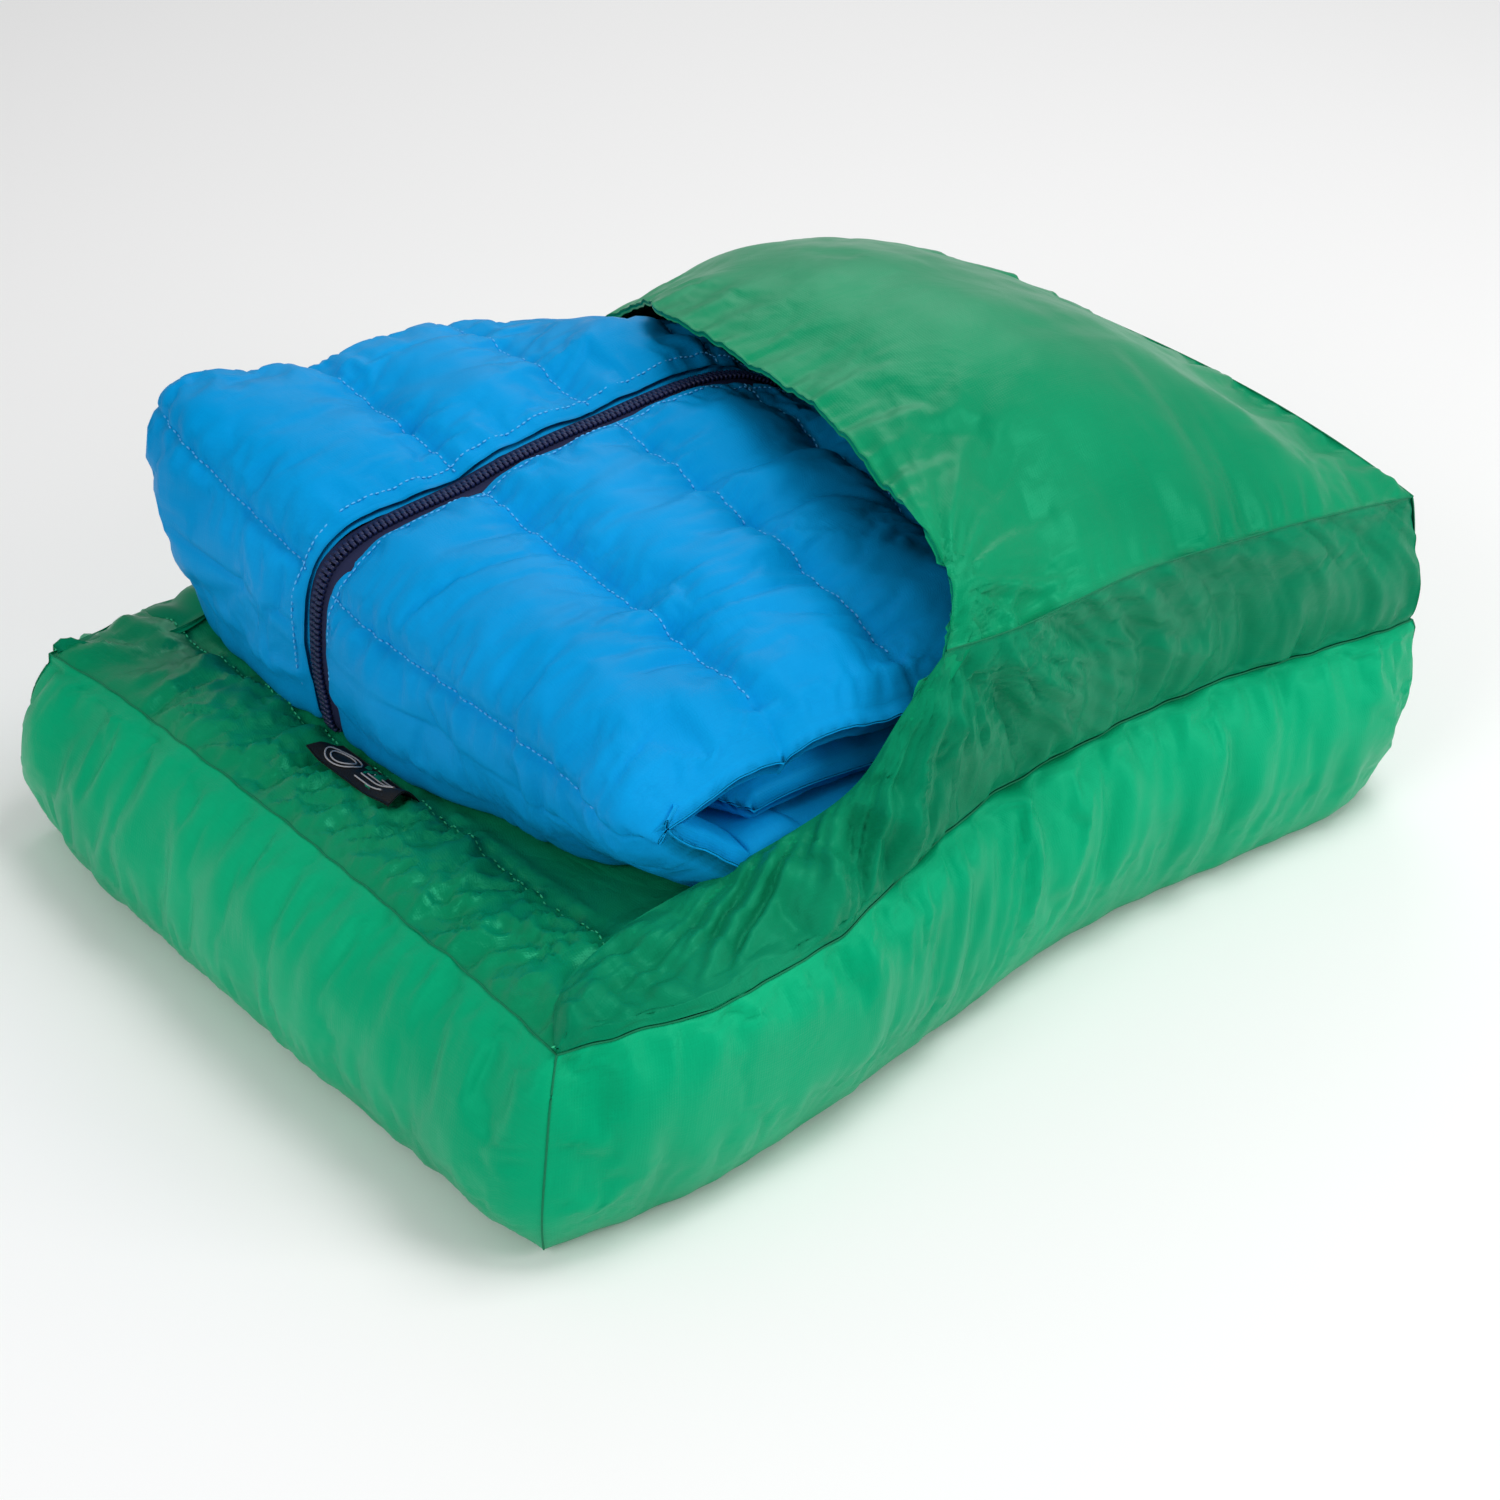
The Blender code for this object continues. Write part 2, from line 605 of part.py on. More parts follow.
def slider(middle, row_far, metal):
    """Slider body with its bail, and the pull tab hinged in the bail."""
    post = TOOTH_GAP / 2 - GAP
    half = row_far + GAP + SLIDER_LIP
    inside = TOOTH_HEIGHT / 2 + GAP
    lip = TAPE_THICKNESS / 2 + GAP
    plate = inside + SLIDER_PLATE
    quarter = [(post, inside), (half - SLIDER_LIP, inside), (half - SLIDER_LIP, lip),
               (half, lip), (half, plate)]
    top = quarter + [(-y, z) for y, z in reversed(quarter)]
    section = top + [(-y, -z) for y, z in top]
    ends = (SLIDER_X - SLIDER_LENGTH / 2, SLIDER_X + SLIDER_LENGTH / 2)
    rings = [[(x, ZIP_Y + y, middle + z) for y, z in section] for x in ends]
    made = loft("zip_slider", rings, metal)

    hinge_z = middle + plate + GAP + PULL_BAR / 2
    crown = hinge_z + PULL_BAR / math.sqrt(2) + GAP
    foot = middle + plate - SLIDER_PLATE / 2
    half_bar = BAIL_BAR / 2
    side = [(BAIL_REACH - BAIL_BAR, crown + BAIL_BAR), (BAIL_REACH, crown + half_bar),
            (BAIL_REACH, foot), (BAIL_HOLE, foot), (BAIL_HOLE, crown)]
    arch = side + [(-x, z) for x, z in reversed(side)]
    rings = [[(SLIDER_X + x, ZIP_Y + y, z) for x, z in arch]
             for y in (BAIL_WIDTH / 2, -BAIL_WIDTH / 2)]
    combine(made, loft("bail_tool", rings, metal), 'UNION')

    bar = PULL_BAR / 2
    eye = BAIL_WIDTH / 2 + EYE_SIDE
    tab = box("zip_pull", (SLIDER_X - PULL_LENGTH, ZIP_Y - PULL_WIDTH / 2, hinge_z - bar),
              (SLIDER_X + bar, ZIP_Y + PULL_WIDTH / 2, hinge_z + bar), metal)
    cut = box("eye_tool", (SLIDER_X - BAIL_REACH - EYE_WALL, ZIP_Y - eye, hinge_z - 2 * bar),
              (SLIDER_X - bar, ZIP_Y + eye, hinge_z + 2 * bar), metal)
    combine(tab, cut, 'DIFFERENCE')


def build():
    """Make every sub-part in an empty scene."""
    for old in list(bpy.data.objects):
        bpy.data.objects.remove(old, do_unlink=True)
    finish = finishes()
    pillow_panels(finish["green"])
    pillow_filling(finish["down"], finish["baffle"])
    label(finish["label"])
    sleeve(finish["green"], finish["dark_green"])
    mouth_hem(finish["green"])
    upper_channels(finish["blue"])
    folded_layers(finish["blue"])
    zip_fastener(finish["navy"], finish["tooth"], finish["slider"])


build()
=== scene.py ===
"""Camping down pillow with an open sleeve and a quilt pulled part of the way out of it."""

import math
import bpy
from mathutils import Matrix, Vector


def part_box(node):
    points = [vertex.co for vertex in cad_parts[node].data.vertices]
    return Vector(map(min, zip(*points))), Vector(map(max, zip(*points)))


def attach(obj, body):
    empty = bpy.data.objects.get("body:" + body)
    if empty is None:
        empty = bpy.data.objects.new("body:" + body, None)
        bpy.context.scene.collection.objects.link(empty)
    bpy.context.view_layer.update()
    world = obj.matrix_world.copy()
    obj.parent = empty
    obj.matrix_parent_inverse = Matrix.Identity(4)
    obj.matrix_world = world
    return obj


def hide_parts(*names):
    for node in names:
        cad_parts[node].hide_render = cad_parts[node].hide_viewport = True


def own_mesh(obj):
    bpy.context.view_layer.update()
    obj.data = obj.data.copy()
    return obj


bl_info = {
    "name": "Sleeved down pillow and quilt",
    "version": (1, 0, 0),
    "blender": (4, 5, 0),
    "location": "3D View > Sidebar > Pillow",
    "description": "Builds a boxed down pillow, its gathered sleeve and the zipped quilt in it",
    "category": "Add Mesh",
}

import bpy
import numpy as np
from mathutils import Vector

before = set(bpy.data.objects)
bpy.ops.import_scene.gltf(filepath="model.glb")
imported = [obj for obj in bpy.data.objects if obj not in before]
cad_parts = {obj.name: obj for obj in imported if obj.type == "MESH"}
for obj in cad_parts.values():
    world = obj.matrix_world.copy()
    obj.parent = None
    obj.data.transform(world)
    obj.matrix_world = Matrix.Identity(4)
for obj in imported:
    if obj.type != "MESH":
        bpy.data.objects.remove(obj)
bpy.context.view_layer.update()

# ---------------------------------------------------------------- numbers of the object, in metres
CLOTH = 0.0006            # thickness of one layer of shell fabric
PILLOW_SEAM_FRONT = [(-.238, -.184, .088), (-.205, -.193, .088), (-.177, -.200, .088), (-.151, -.200, .088),
                     (-.124, -.198, .088), (-.100, -.194, .089), (-.073, -.187, .091), (-.045, -.180, .094),
                     (-.014, -.173, .095), (.013, -.171, .096), (.044, -.170, .096), (.085, -.170, .096),
                     (.125, -.171, .0945), (.172, -.177, .092), (.215, -.185, .090), (.238, -.186, .089)]
PILLOW_SEAM_BACK = [(-.238, .182, .088), (-.18, .187, .088), (-.1, .185, .089), (0, .180, .091),
                    (.1, .179, .092), (.18, .182, .091), (.238, .182, .089)]
PILLOW_SEAM_MOUTH = [(-.238, -.184, .088), (-.2355, -.15, .088), (-.233, -.08, .0885), (-.231, 0, .0885),
                     (-.232, .07, .0885), (-.2325, .14, .088), (-.238, .182, .088)]
PILLOW_SEAM_END = [(.238, -.186, .089), (.2345, -.1, .089), (.2335, 0, .089), (.2345, .1, .089),
                   (.238, .182, .089)]
PILLOW_LINES = (-.183, -.078, .03, .135)      # where the pillow's top is sewn down to its inner walls
FLOOR_CLEAR = .0006       # the walls stay this far above the floor
FOOT_FRONT = [(-.250, -.187, .004), (-.21, -.195, .004), (-.18, -.198, .004), (-.138, -.196, .004),
              (-.091, -.191, .004), (-.04, -.184, .004), (.011, -.177, .004), (.064, -.175, .004),
              (.109, -.179, .004), (.149, -.183, .004), (.2, -.187, .004), (.233, -.178, .004)]
FOOT_BACK = [(-.246, .184, .004), (-.1, .188, .004), (.05, .186, .004), (.15, .187, .004), (.242, .184, .004)]
FOOT_MOUTH = [(-.250, -.187, .004), (-.255, -.13, .004), (-.256, -.04, .004), (-.256, .05, .004),
              (-.254, .13, .004), (-.246, .184, .004)]
FOOT_END = [(.233, -.178, .004), (.245, -.08, .004), (.245, .08, .004), (.242, .184, .004)]
FLAP_EDGE = [(-.2385, -.1835, .0905), (-.225, -.166, .094), (-.185, -.151, .098), (-.145, -.151, .103),
             (-.105, -.158, .112), (-.078, -.168, .130), (-.060, -.172, .155), (-.040, -.174, .176)]
FLAP_FOOT_X = [-.238, -.222, -.190, -.155, -.120, -.088, -.062, -.040]
MOUTH_EDGE = [(-.040, -.174, .176), (-.027, -.161, .1985), (-.020, -.13, .212), (-.010, -.093, .2185),
              (.004, -.038, .219), (.0115, .0255, .218), (.0175, .0745, .216), (.0405, .1045, .2008),
              (.048, .138, .1828), (.038, .159, .162), (.022, .172, .148)]
BACK_EDGE = [(-.237, .178, .0905), (-.20, .160, .092), (-.147, .163, .098), (-.09, .172, .112),
             (-.03, .173, .132), (.022, .172, .148)]
BACK_FOOT_X = [-.237, -.205, -.15, -.095, -.03, .022]
TOP_SEAM_FRONT = [(-.040, -.174, .176), (-.006, -.180, .1765), (.062, -.181, .177), (.142, -.181, .167),
                  (.190, -.181, .159), (.234, -.180, .150)]
TOP_SEAM_BACK = [(.022, .172, .148), (.05, .178, .150), (.10, .179, .156), (.15, .179, .160),
                 (.19, .180, .1575), (.234, .180, .149)]
CREST = [(-.04, .052), (0, .055), (.05, .061), (.10, .064), (.15, .050), (.19, .0355), (.234, .019)]
# the quilt's outer face: for each station across it, the points that its profile passes through
QUILT_Y = [-.155, -.13, -.10, -.05, 0, .045, .10, .14, .165]
QUILT_X = [[-.090, -.100, -.118, -.132, -.148, -.149, -.146, -.142, -.135],
           [-.125, -.135, -.153, -.165, -.178, -.179, -.176, -.172, -.165],
           [-.141, -.151, -.167, -.176, -.185, -.186, -.186, -.184, -.176],
           [-.158, -.168, -.176, -.181, -.186, -.187, -.190, -.194, -.186],
           [-.179, -.179, -.179, -.181, -.181, -.182, -.183, -.187, -.184],
           [-.109, -.106, -.105, -.105, -.105, -.105, -.105, -.106, -.110],
           [-.036, -.034, -.034, -.034, -.034, -.034, -.034, -.034, -.036],
           [.038, .038, .038, .038, .038, .038, .038, .038, .036],
           [.098, .098, .098, .098, .098, .098, .098, .098, .098],
           [.188, .188, .188, .188, .188, .188, .188, .188, .186]]
QUILT_Z = [[.0900] * 9,
           [.0900] * 9,
           [.100, .102, .104, .106, .108, .110, .112, .116, .116],
           [.117, .121, .125, .130, .134, .138, .145, .155, .155],
           [.137, .144, .149, .1525, .155, .162, .178, .195, .200],
           [.160, .166, .169, .1725, .178, .184, .190, .1965, .1965],
           [.152, .158, .168, .1785, .186, .191, .1945, .196, .193],
           [.148, .155, .160, .169, .180, .189, .1900, .173, .152],
           [.146, .150, .154, .159, .1608, .161, .161, .161, .157],
           [.146, .150, .154, .158, .1605, .161, .1605, .160, .156]]
QUILT_STEPS = [8, 8, 12, 12, 36, 34, 34, 27, 36]
QUILT_CROWN = [0, 0, 0, .002, .0072, .0054, .0054, .002, .0015]
QUILT_LINES = [4, 5, 6, 7, 8]        # profile points where the quilt is sewn through
LAYER = .025              # thickness of the quilt's outermost layer
PILLOW_TOP_Z = .0898      # the quilt rests here
ZIP_Y = .045              # the zip runs along this line
ZIP_HALF = .0074          # half the open strip between the two fabric edges
ZIP_DEPTH = .0040         # how far the zip lies under the quilt's face where it is flat
MOUTH_FRONT_X = -.040     # where the mouth's edge meets the front side seam
MOUTH_BACK_X = .022       # the same at the back
END_X = .2345             # the sleeve's closed end


# ---------------------------------------------------------------- helpers for numbers
def lattice(seed):
    """A fixed field of directions for the noise."""
    turn = np.random.RandomState(seed).rand(256, 256) * 2 * math.pi
    return np.cos(turn), np.sin(turn)


LATTICES = {}


def noise(u, v, seed=0):
    """Smooth noise from about -1 to 1 at the points u, v."""
    if seed not in LATTICES:
        LATTICES[seed] = lattice(seed)
    gx, gy = LATTICES[seed]
    u, v = np.broadcast_arrays(np.asarray(u, float), np.asarray(v, float))
    i, j = np.floor(u).astype(int), np.floor(v).astype(int)
    a, b = u - i, v - j
    fa, fb = a * a * a * (a * (6 * a - 15) + 10), b * b * b * (b * (6 * b - 15) + 10)

    def corner(p, q):
        return gx[(i + p) & 255, (j + q) & 255] * (a - p) + gy[(i + p) & 255, (j + q) & 255] * (b - q)

    low = corner(0, 0) * (1 - fa) + corner(1, 0) * fa
    high = corner(0, 1) * (1 - fa) + corner(1, 1) * fa
    return 1.5 * (low * (1 - fb) + high * fb)


def crumple(u, v, size, seed):
    """Creased noise: sharp low folds between soft facets, from 0 to about 1."""
    wu = u + size * .8 * noise(u / size / 1.7, v / size / 1.7, seed + 1)
    wv = v + size * .8 * noise(u / size / 1.7, v / size / 1.7, seed + 2)
    a = 1 - np.abs(noise(wu / size, wv / size, seed + 3))
    b = 1 - np.abs(noise(wu / size * 2.1, wv / size * 2.1, seed + 4))
    return .65 * a ** 3 + .35 * b ** 3


def gathers(along, away, seed, depth=1.0, reach=1.0):
    """Small folds that start at a sewn line and die out away from it. along and away are in metres."""
    total = 0
    for k, (size, dies, part) in enumerate(((.0065, .007, .8), (.012, .018, 1.2), (.026, .045, 1.6))):
        lean = along + .35 * away * noise(along / .06, 0 * along + k, seed + 7)
        fade = np.exp(-np.abs(away) / (dies * reach))
        total = total + part * noise(lean / size, away / (size * 5), seed + k) * fade
    return depth * total


def through(points, t, keys=None):
    """A smooth line through points, at t. keys are the values of t at the points, or even steps."""
    pts = np.asarray(points, float)
    if pts.ndim == 1:
        pts = pts[:, None]
    n = len(pts)
    keys = np.linspace(0, 1, n) if keys is None else np.asarray(keys, float)
    slope = np.empty_like(pts)
    gap = (keys[1:] - keys[:-1])[:, None]
    rise = (pts[1:] - pts[:-1]) / gap
    slope[0], slope[-1] = rise[0], rise[-1]
    slope[1:-1] = (rise[:-1] * gap[1:] + rise[1:] * gap[:-1]) / (gap[1:] + gap[:-1])
    t = np.clip(np.asarray(t, float), keys[0], keys[-1])
    i = np.clip(np.searchsorted(keys, t, "right") - 1, 0, n - 2)
    h = (keys[i + 1] - keys[i])[..., None]
    s = (t - keys[i])[..., None] / h
    out = ((2 * s ** 3 - 3 * s ** 2 + 1) * pts[i] + (s ** 3 - 2 * s ** 2 + s) * h * slope[i]
           + (-2 * s ** 3 + 3 * s ** 2) * pts[i + 1] + (s ** 3 - s ** 2) * h * slope[i + 1])
    return out[..., 0] if out.shape[-1] == 1 else out


def by_length(points, count):
    """count points at even spacing along the smooth line through points."""
    fine = through(points, np.linspace(0, 1, 600))
    run = np.concatenate([[0], np.cumsum(np.linalg.norm(np.diff(fine, axis=0), axis=1))])
    at = np.linspace(0, run[-1], count)
    return np.stack([np.interp(at, run, fine[:, k]) for k in range(3)], 1)


def normals(grid):
    """Unit normals of a grid of points."""
    a, b = np.gradient(grid, axis=0), np.gradient(grid, axis=1)
    n = np.cross(a, b)
    return n / np.maximum(np.linalg.norm(n, axis=2, keepdims=True), 1e-12)


def ease(t):
    t = np.clip(t, 0, 1)
    return t * t * (3 - 2 * t)


def wavy(line, axis, seed):
    """A sewn edge that wanders a little. axis is the one that it runs along; its two ends stay put."""
    line = np.array(line, float)
    q = line[:, axis]
    hold = np.clip(np.minimum(np.abs(q - q[0]), np.abs(q - q[-1])) / .02, 0, 1)
    line[:, 2] += hold * (.0012 * noise(q / .017, 0, seed) + .0010 * noise(q / .045, 0, seed + 1))
    line[:, 1 - axis] += hold * (.0011 * noise(q / .015, 0, seed + 2) + .0009 * noise(q / .05, 0, seed + 3))
    return line


def bump(x, middle, width):
    return np.exp(-((x - middle) / width) ** 2)


def lengths(grid):
    """Run of cloth along both ways of a grid, in metres."""
    rows, cols, _ = grid.shape
    along = np.cumsum(np.linalg.norm(np.diff(grid, axis=0), axis=2), 0)
    across = np.cumsum(np.linalg.norm(np.diff(grid, axis=1), axis=2), 1)
    return np.concatenate([np.zeros((1, cols)), along], 0), np.concatenate([np.zeros((rows, 1)), across], 1)


# ---------------------------------------------------------------- helpers for meshes
def build(name, verts, faces, uvs=None, material=None, smooth=True):
    """A mesh object at the origin from its points, quads and cloth coordinates."""
    mesh = bpy.data.meshes.new(name)
    mesh.from_pydata([tuple(p) for p in verts.tolist()], [], faces.tolist())
    if uvs is not None:
        layer = mesh.uv_layers.new(name="cloth")
        layer.data.foreach_set("uv", np.asarray(uvs, np.float32).reshape(-1))
    mesh.update()
    mesh.validate()
    mesh.polygons.foreach_set("use_smooth", [smooth] * len(mesh.polygons))
    obj = bpy.data.objects.new(name, mesh)
    bpy.context.collection.objects.link(obj)
    if material:
        mesh.materials.append(material)
    return obj


def quads(index):
    """Quads of a grid of vertex numbers, wound so that the grid's own normal points out."""
    return np.stack([index[:-1, :-1], index[1:, :-1], index[1:, 1:], index[:-1, 1:]], -1).reshape(-1, 4)


def corner_uv(u, v):
    pick = lambda a: np.stack([a[:-1, :-1], a[1:, :-1], a[1:, 1:], a[:-1, 1:]], -1).reshape(-1, 4)
    return np.stack([pick(u), pick(v)], -1)


def slab(name, top, low, material):
    """A closed piece between two grids of points: top's normal points out, low lies under it."""
    n, m, _ = top.shape
    a = np.arange(n * m).reshape(n, m)
    b = a + n * m
    u, v = lengths(top)
    parts, uv = [quads(a), quads(b)[:, ::-1]], [corner_uv(u, v), corner_uv(u, v)[:, ::-1]]

    def strip(ta, tb, uu, vv):
        faces = np.stack([ta[:-1], tb[:-1], tb[1:], ta[1:]], -1)
        w = np.stack([np.stack([uu[:-1], uu[:-1], uu[1:], uu[1:]], -1),
                      np.stack([vv[:-1], vv[:-1] + .001, vv[1:] + .001, vv[1:]], -1)], -1)
        return faces, w

    for ta, tb, uu, vv in ((a[::-1, 0], b[::-1, 0], u[::-1, 0], v[::-1, 0]),
                           (a[:, -1], b[:, -1], u[:, -1], v[:, -1]),
                           (a[0], b[0], v[0], u[0]),
                           (a[-1, ::-1], b[-1, ::-1], v[-1, ::-1], u[-1, ::-1])):
        f, w = strip(ta, tb, uu, vv)
        parts.append(f)
        uv.append(w)
    verts = np.concatenate([top.reshape(-1, 3), low.reshape(-1, 3)])
    return build(name, verts, np.concatenate(parts), np.concatenate(uv), material)


def puff(obj, hold, pressure, spare, cap, frames=14, bending=.08):
    """Cloth simulation of a filled piece: free points swell and buckle, held ones stay.

    hold is 1 at a held point, spare is the share of extra cloth, and no point moves further than cap.
    """
    scene = bpy.context.scene
    count = len(obj.data.vertices)
    start = np.empty(count * 3)
    obj.data.vertices.foreach_get("co", start)
    start = start.reshape(-1, 3)
    group = obj.vertex_groups.new(name="hold")
    steps = np.round(np.clip(hold, 0, 1) * 10).astype(int)
    for k in range(1, 11):
        picked = np.nonzero(steps == k)[0].tolist()
        if picked:
            group.add(picked, k / 10, "REPLACE")
    mod = obj.modifiers.new("filling", "CLOTH")
    c = mod.settings
    c.quality = 5
    c.mass = .12
    c.tension_stiffness = c.compression_stiffness = 12
    c.shear_stiffness = 4
    c.bending_stiffness = bending
    c.use_pressure = True
    c.uniform_pressure_force = pressure
    c.vertex_group_mass = "hold"
    c.pin_stiffness = 1.0
    c.shrink_min = -spare
    c.effector_weights.gravity = 0
    mod.collision_settings.use_collision = False
    mod.point_cache.frame_start, mod.point_cache.frame_end = 1, frames
    for f in range(1, frames + 1):
        scene.frame_set(f)
    deps = bpy.context.evaluated_depsgraph_get()
    done = obj.evaluated_get(deps).to_mesh()
    after = np.empty(count * 3)
    done.vertices.foreach_get("co", after)
    moved = after.reshape(-1, 3) - start
    obj.evaluated_get(deps).to_mesh_clear()
    obj.modifiers.remove(mod)
    obj.vertex_groups.remove(group)
    moved = np.nan_to_num(moved)
    far = np.linalg.norm(moved, axis=1, keepdims=True)
    moved *= (cap * np.tanh(far / cap)) / np.maximum(far, 1e-9)
    moved *= (1 - np.clip(hold, 0, 1))[:, None]
    obj.data.vertices.foreach_set("co", (start + moved).reshape(-1))
    obj.data.update()
    scene.frame_set(1)


def puff_grid(grid, held, pressure, spare, cap, closed=False):
    """The same simulation on a bare grid of cloth. closed joins the last row to the first."""
    index = np.arange(grid.shape[0] * grid.shape[1]).reshape(grid.shape[:2])
    faces = quads(np.concatenate([index, index[:1]]) if closed else index)
    cloth = build("cloth_in_work", grid.reshape(-1, 3), faces)
    puff(cloth, held.reshape(-1), pressure, spare, cap)
    out = np.empty(grid.size)
    cloth.data.vertices.foreach_get("co", out)
    bpy.data.objects.remove(cloth)
    return out.reshape(grid.shape)


def cloth_sheet(name, grid, material, thick=CLOTH):
    return slab(name, grid, grid - normals(grid) * thick, material)


def tube(name, lines, radius, material, sides=5):
    """Closed thin tubes along lines of points."""
    verts, faces, base = [], [], 0
    for line in lines:
        line = np.asarray(line, float)
        t = np.gradient(line, axis=0)
        t /= np.maximum(np.linalg.norm(t, axis=1, keepdims=True), 1e-12)
        up = np.where(np.abs(t[:, 2:]) > .9, np.array([[1., 0, 0]]), np.array([[0, 0, 1.]]))
        a = np.cross(t, up)
        a /= np.linalg.norm(a, axis=1, keepdims=True)
        b = np.cross(t, a)
        turn = np.linspace(0, 2 * np.pi, sides, endpoint=False)
        c, d = np.cos(turn)[None, :, None], np.sin(turn)[None, :, None]
        ringed = line[:, None] + radius * (c * a[:, None] + d * b[:, None])
        n = len(line)
        index = base + np.arange(n * sides).reshape(n, sides)
        index = np.concatenate([index, index[:, :1]], 1)
        faces.append(quads(index))
        verts.append(ringed.reshape(-1, 3))
        base += n * sides
    verts, faces = np.concatenate(verts), np.concatenate(faces)
    return build(name, verts, faces, None, material)


# ---------------------------------------------------------------- materials
def node(tree, kind, **inputs):
    n = tree.nodes.new(kind)
    for key, value in inputs.items():
        name = key.replace("_", " ")
        if name in n.inputs:
            n.inputs[name].default_value = value
        else:
            setattr(n, key, value)
    return n


def fabric(name, colour, rough, crinkle, crinkle_size, sheen, gloss, slub=.10, crisp=.0014, weave=.25, shade=.10):
    """Thin woven shell cloth: fine threads, slubs, crease marks, and a soft sheen."""
    mat = bpy.data.materials.new(name)
    mat.use_nodes = True
    tree = mat.node_tree
    tree.nodes.clear()
    link = tree.links.new
    out = tree.nodes.new("ShaderNodeOutputMaterial")
    shader = tree.nodes.new("ShaderNodeBsdfPrincipled")
    shader.inputs["Sheen Weight"].default_value = sheen
    shader.inputs["Sheen Tint"].default_value = (*[min(1, c * 1.6 + .02) for c in colour], 1)
    shader.inputs["Sheen Roughness"].default_value = .45
    shader.inputs["Coat Weight"].default_value = 0
    shader.inputs["Coat Roughness"].default_value = .3
    shader.inputs["Specular IOR Level"].default_value = gloss
    peak = max(colour)
    shader.inputs["Specular Tint"].default_value = (*[.08 + .92 * min(1, c / peak * 1.2) for c in colour], 1)
    link(shader.outputs[0], out.inputs[0])
    coords = tree.nodes.new("ShaderNodeTexCoord")
    uv = tree.nodes.new("ShaderNodeUVMap")
    uv.uv_map = "cloth"
    # threads in both directions
    along = node(tree, "ShaderNodeTexWave", Scale=260.0, Distortion=1.2, Detail=1.0)
    along.bands_direction = "X"
    across = node(tree, "ShaderNodeTexWave", Scale=260.0, Distortion=1.2, Detail=1.0)
    across.bands_direction = "Y"
    slubs = []
    for stretch in ((90, 1400, 1), (1400, 90, 1)):
        m = tree.nodes.new("ShaderNodeMapping")
        m.inputs["Scale"].default_value = stretch
        t = node(tree, "ShaderNodeTexNoise", Scale=1.0, Detail=2.0)
        link(uv.outputs[0], m.inputs[0])
        link(m.outputs[0], t.inputs["Vector"])
        slubs.append(t)
    for t in (along, across):
        link(uv.outputs[0], t.inputs["Vector"])
    threads = node(tree, "ShaderNodeMath", operation="MULTIPLY")
    link(along.outputs["Fac"], threads.inputs[0])
    link(across.outputs["Fac"], threads.inputs[1])
    slub_mix = node(tree, "ShaderNodeMath", operation="ADD")
    link(slubs[0].outputs["Fac"], slub_mix.inputs[0])
    link(slubs[1].outputs["Fac"], slub_mix.inputs[1])
    # crease marks: two sizes of warped noise
    warp = node(tree, "ShaderNodeTexNoise", Scale=float(crinkle_size), Detail=3.0, Roughness=.6, Distortion=1.4)
    link(coords.outputs["Object"], warp.inputs["Vector"])
    cell = node(tree, "ShaderNodeTexVoronoi", Scale=float(crinkle_size) * 2.2)
    cell.feature = "DISTANCE_TO_EDGE"
    shift = node(tree, "ShaderNodeVectorMath", operation="MULTIPLY_ADD")
    shift.inputs[1].default_value = (.05, .05, .05)
    link(warp.outputs["Color"], shift.inputs[0])
    link(coords.outputs["Object"], shift.inputs[2])
    link(shift.outputs[0], cell.inputs["Vector"])
    b1 = node(tree, "ShaderNodeBump", Strength=min(1.0, crinkle), Distance=.0035)
    link(warp.outputs["Fac"], b1.inputs["Height"])
    b2 = node(tree, "ShaderNodeBump", Strength=min(1.0, crinkle * .8), Distance=crisp)
    link(cell.outputs["Distance"], b2.inputs["Height"])
    link(b1.outputs[0], b2.inputs["Normal"])
    b3 = node(tree, "ShaderNodeBump", Strength=slub * 1.6, Distance=.0003)
    link(slub_mix.outputs[0], b3.inputs["Height"])
    link(b2.outputs[0], b3.inputs["Normal"])
    b4 = node(tree, "ShaderNodeBump", Strength=weave, Distance=.00015)
    link(threads.outputs[0], b4.inputs["Height"])
    link(b3.outputs[0], b4.inputs["Normal"])
    link(b4.outputs[0], shader.inputs["Normal"])
    # colour: broad fading, slub threads lighter and darker
    broad = node(tree, "ShaderNodeTexNoise", Scale=9.0, Detail=3.0)
    link(coords.outputs["Object"], broad.inputs["Vector"])
    ramp = tree.nodes.new("ShaderNodeValToRGB")
    dark = [c * (1 - shade) for c in colour]
    light = [min(1, c * (1 + shade) + .004) for c in colour]
    ramp.color_ramp.elements[0].color = (*dark, 1)
    ramp.color_ramp.elements[0].position = .32
    ramp.color_ramp.elements[1].color = (*light, 1)
    ramp.color_ramp.elements[1].position = .68
    link(broad.outputs["Fac"], ramp.inputs[0])
    tint = tree.nodes.new("ShaderNodeMix")
    tint.data_type = "RGBA"
    tint.blend_type = "OVERLAY"
    tint.inputs["Factor"].default_value = slub
    grey = node(tree, "ShaderNodeMath", operation="MULTIPLY")
    grey.inputs[1].default_value = .5
    link(slub_mix.outputs[0], grey.inputs[0])
    link(ramp.outputs[0], tint.inputs[6])
    link(grey.outputs[0], tint.inputs[7])
    link(tint.outputs[2], shader.inputs["Base Color"])
    shine = node(tree, "ShaderNodeMapRange")
    shine.inputs["To Min"].default_value = max(.05, rough - .08)
    shine.inputs["To Max"].default_value = rough + .10
    link(warp.outputs["Fac"], shine.inputs[0])
    link(shine.outputs[0], shader.inputs["Roughness"])
    return mat


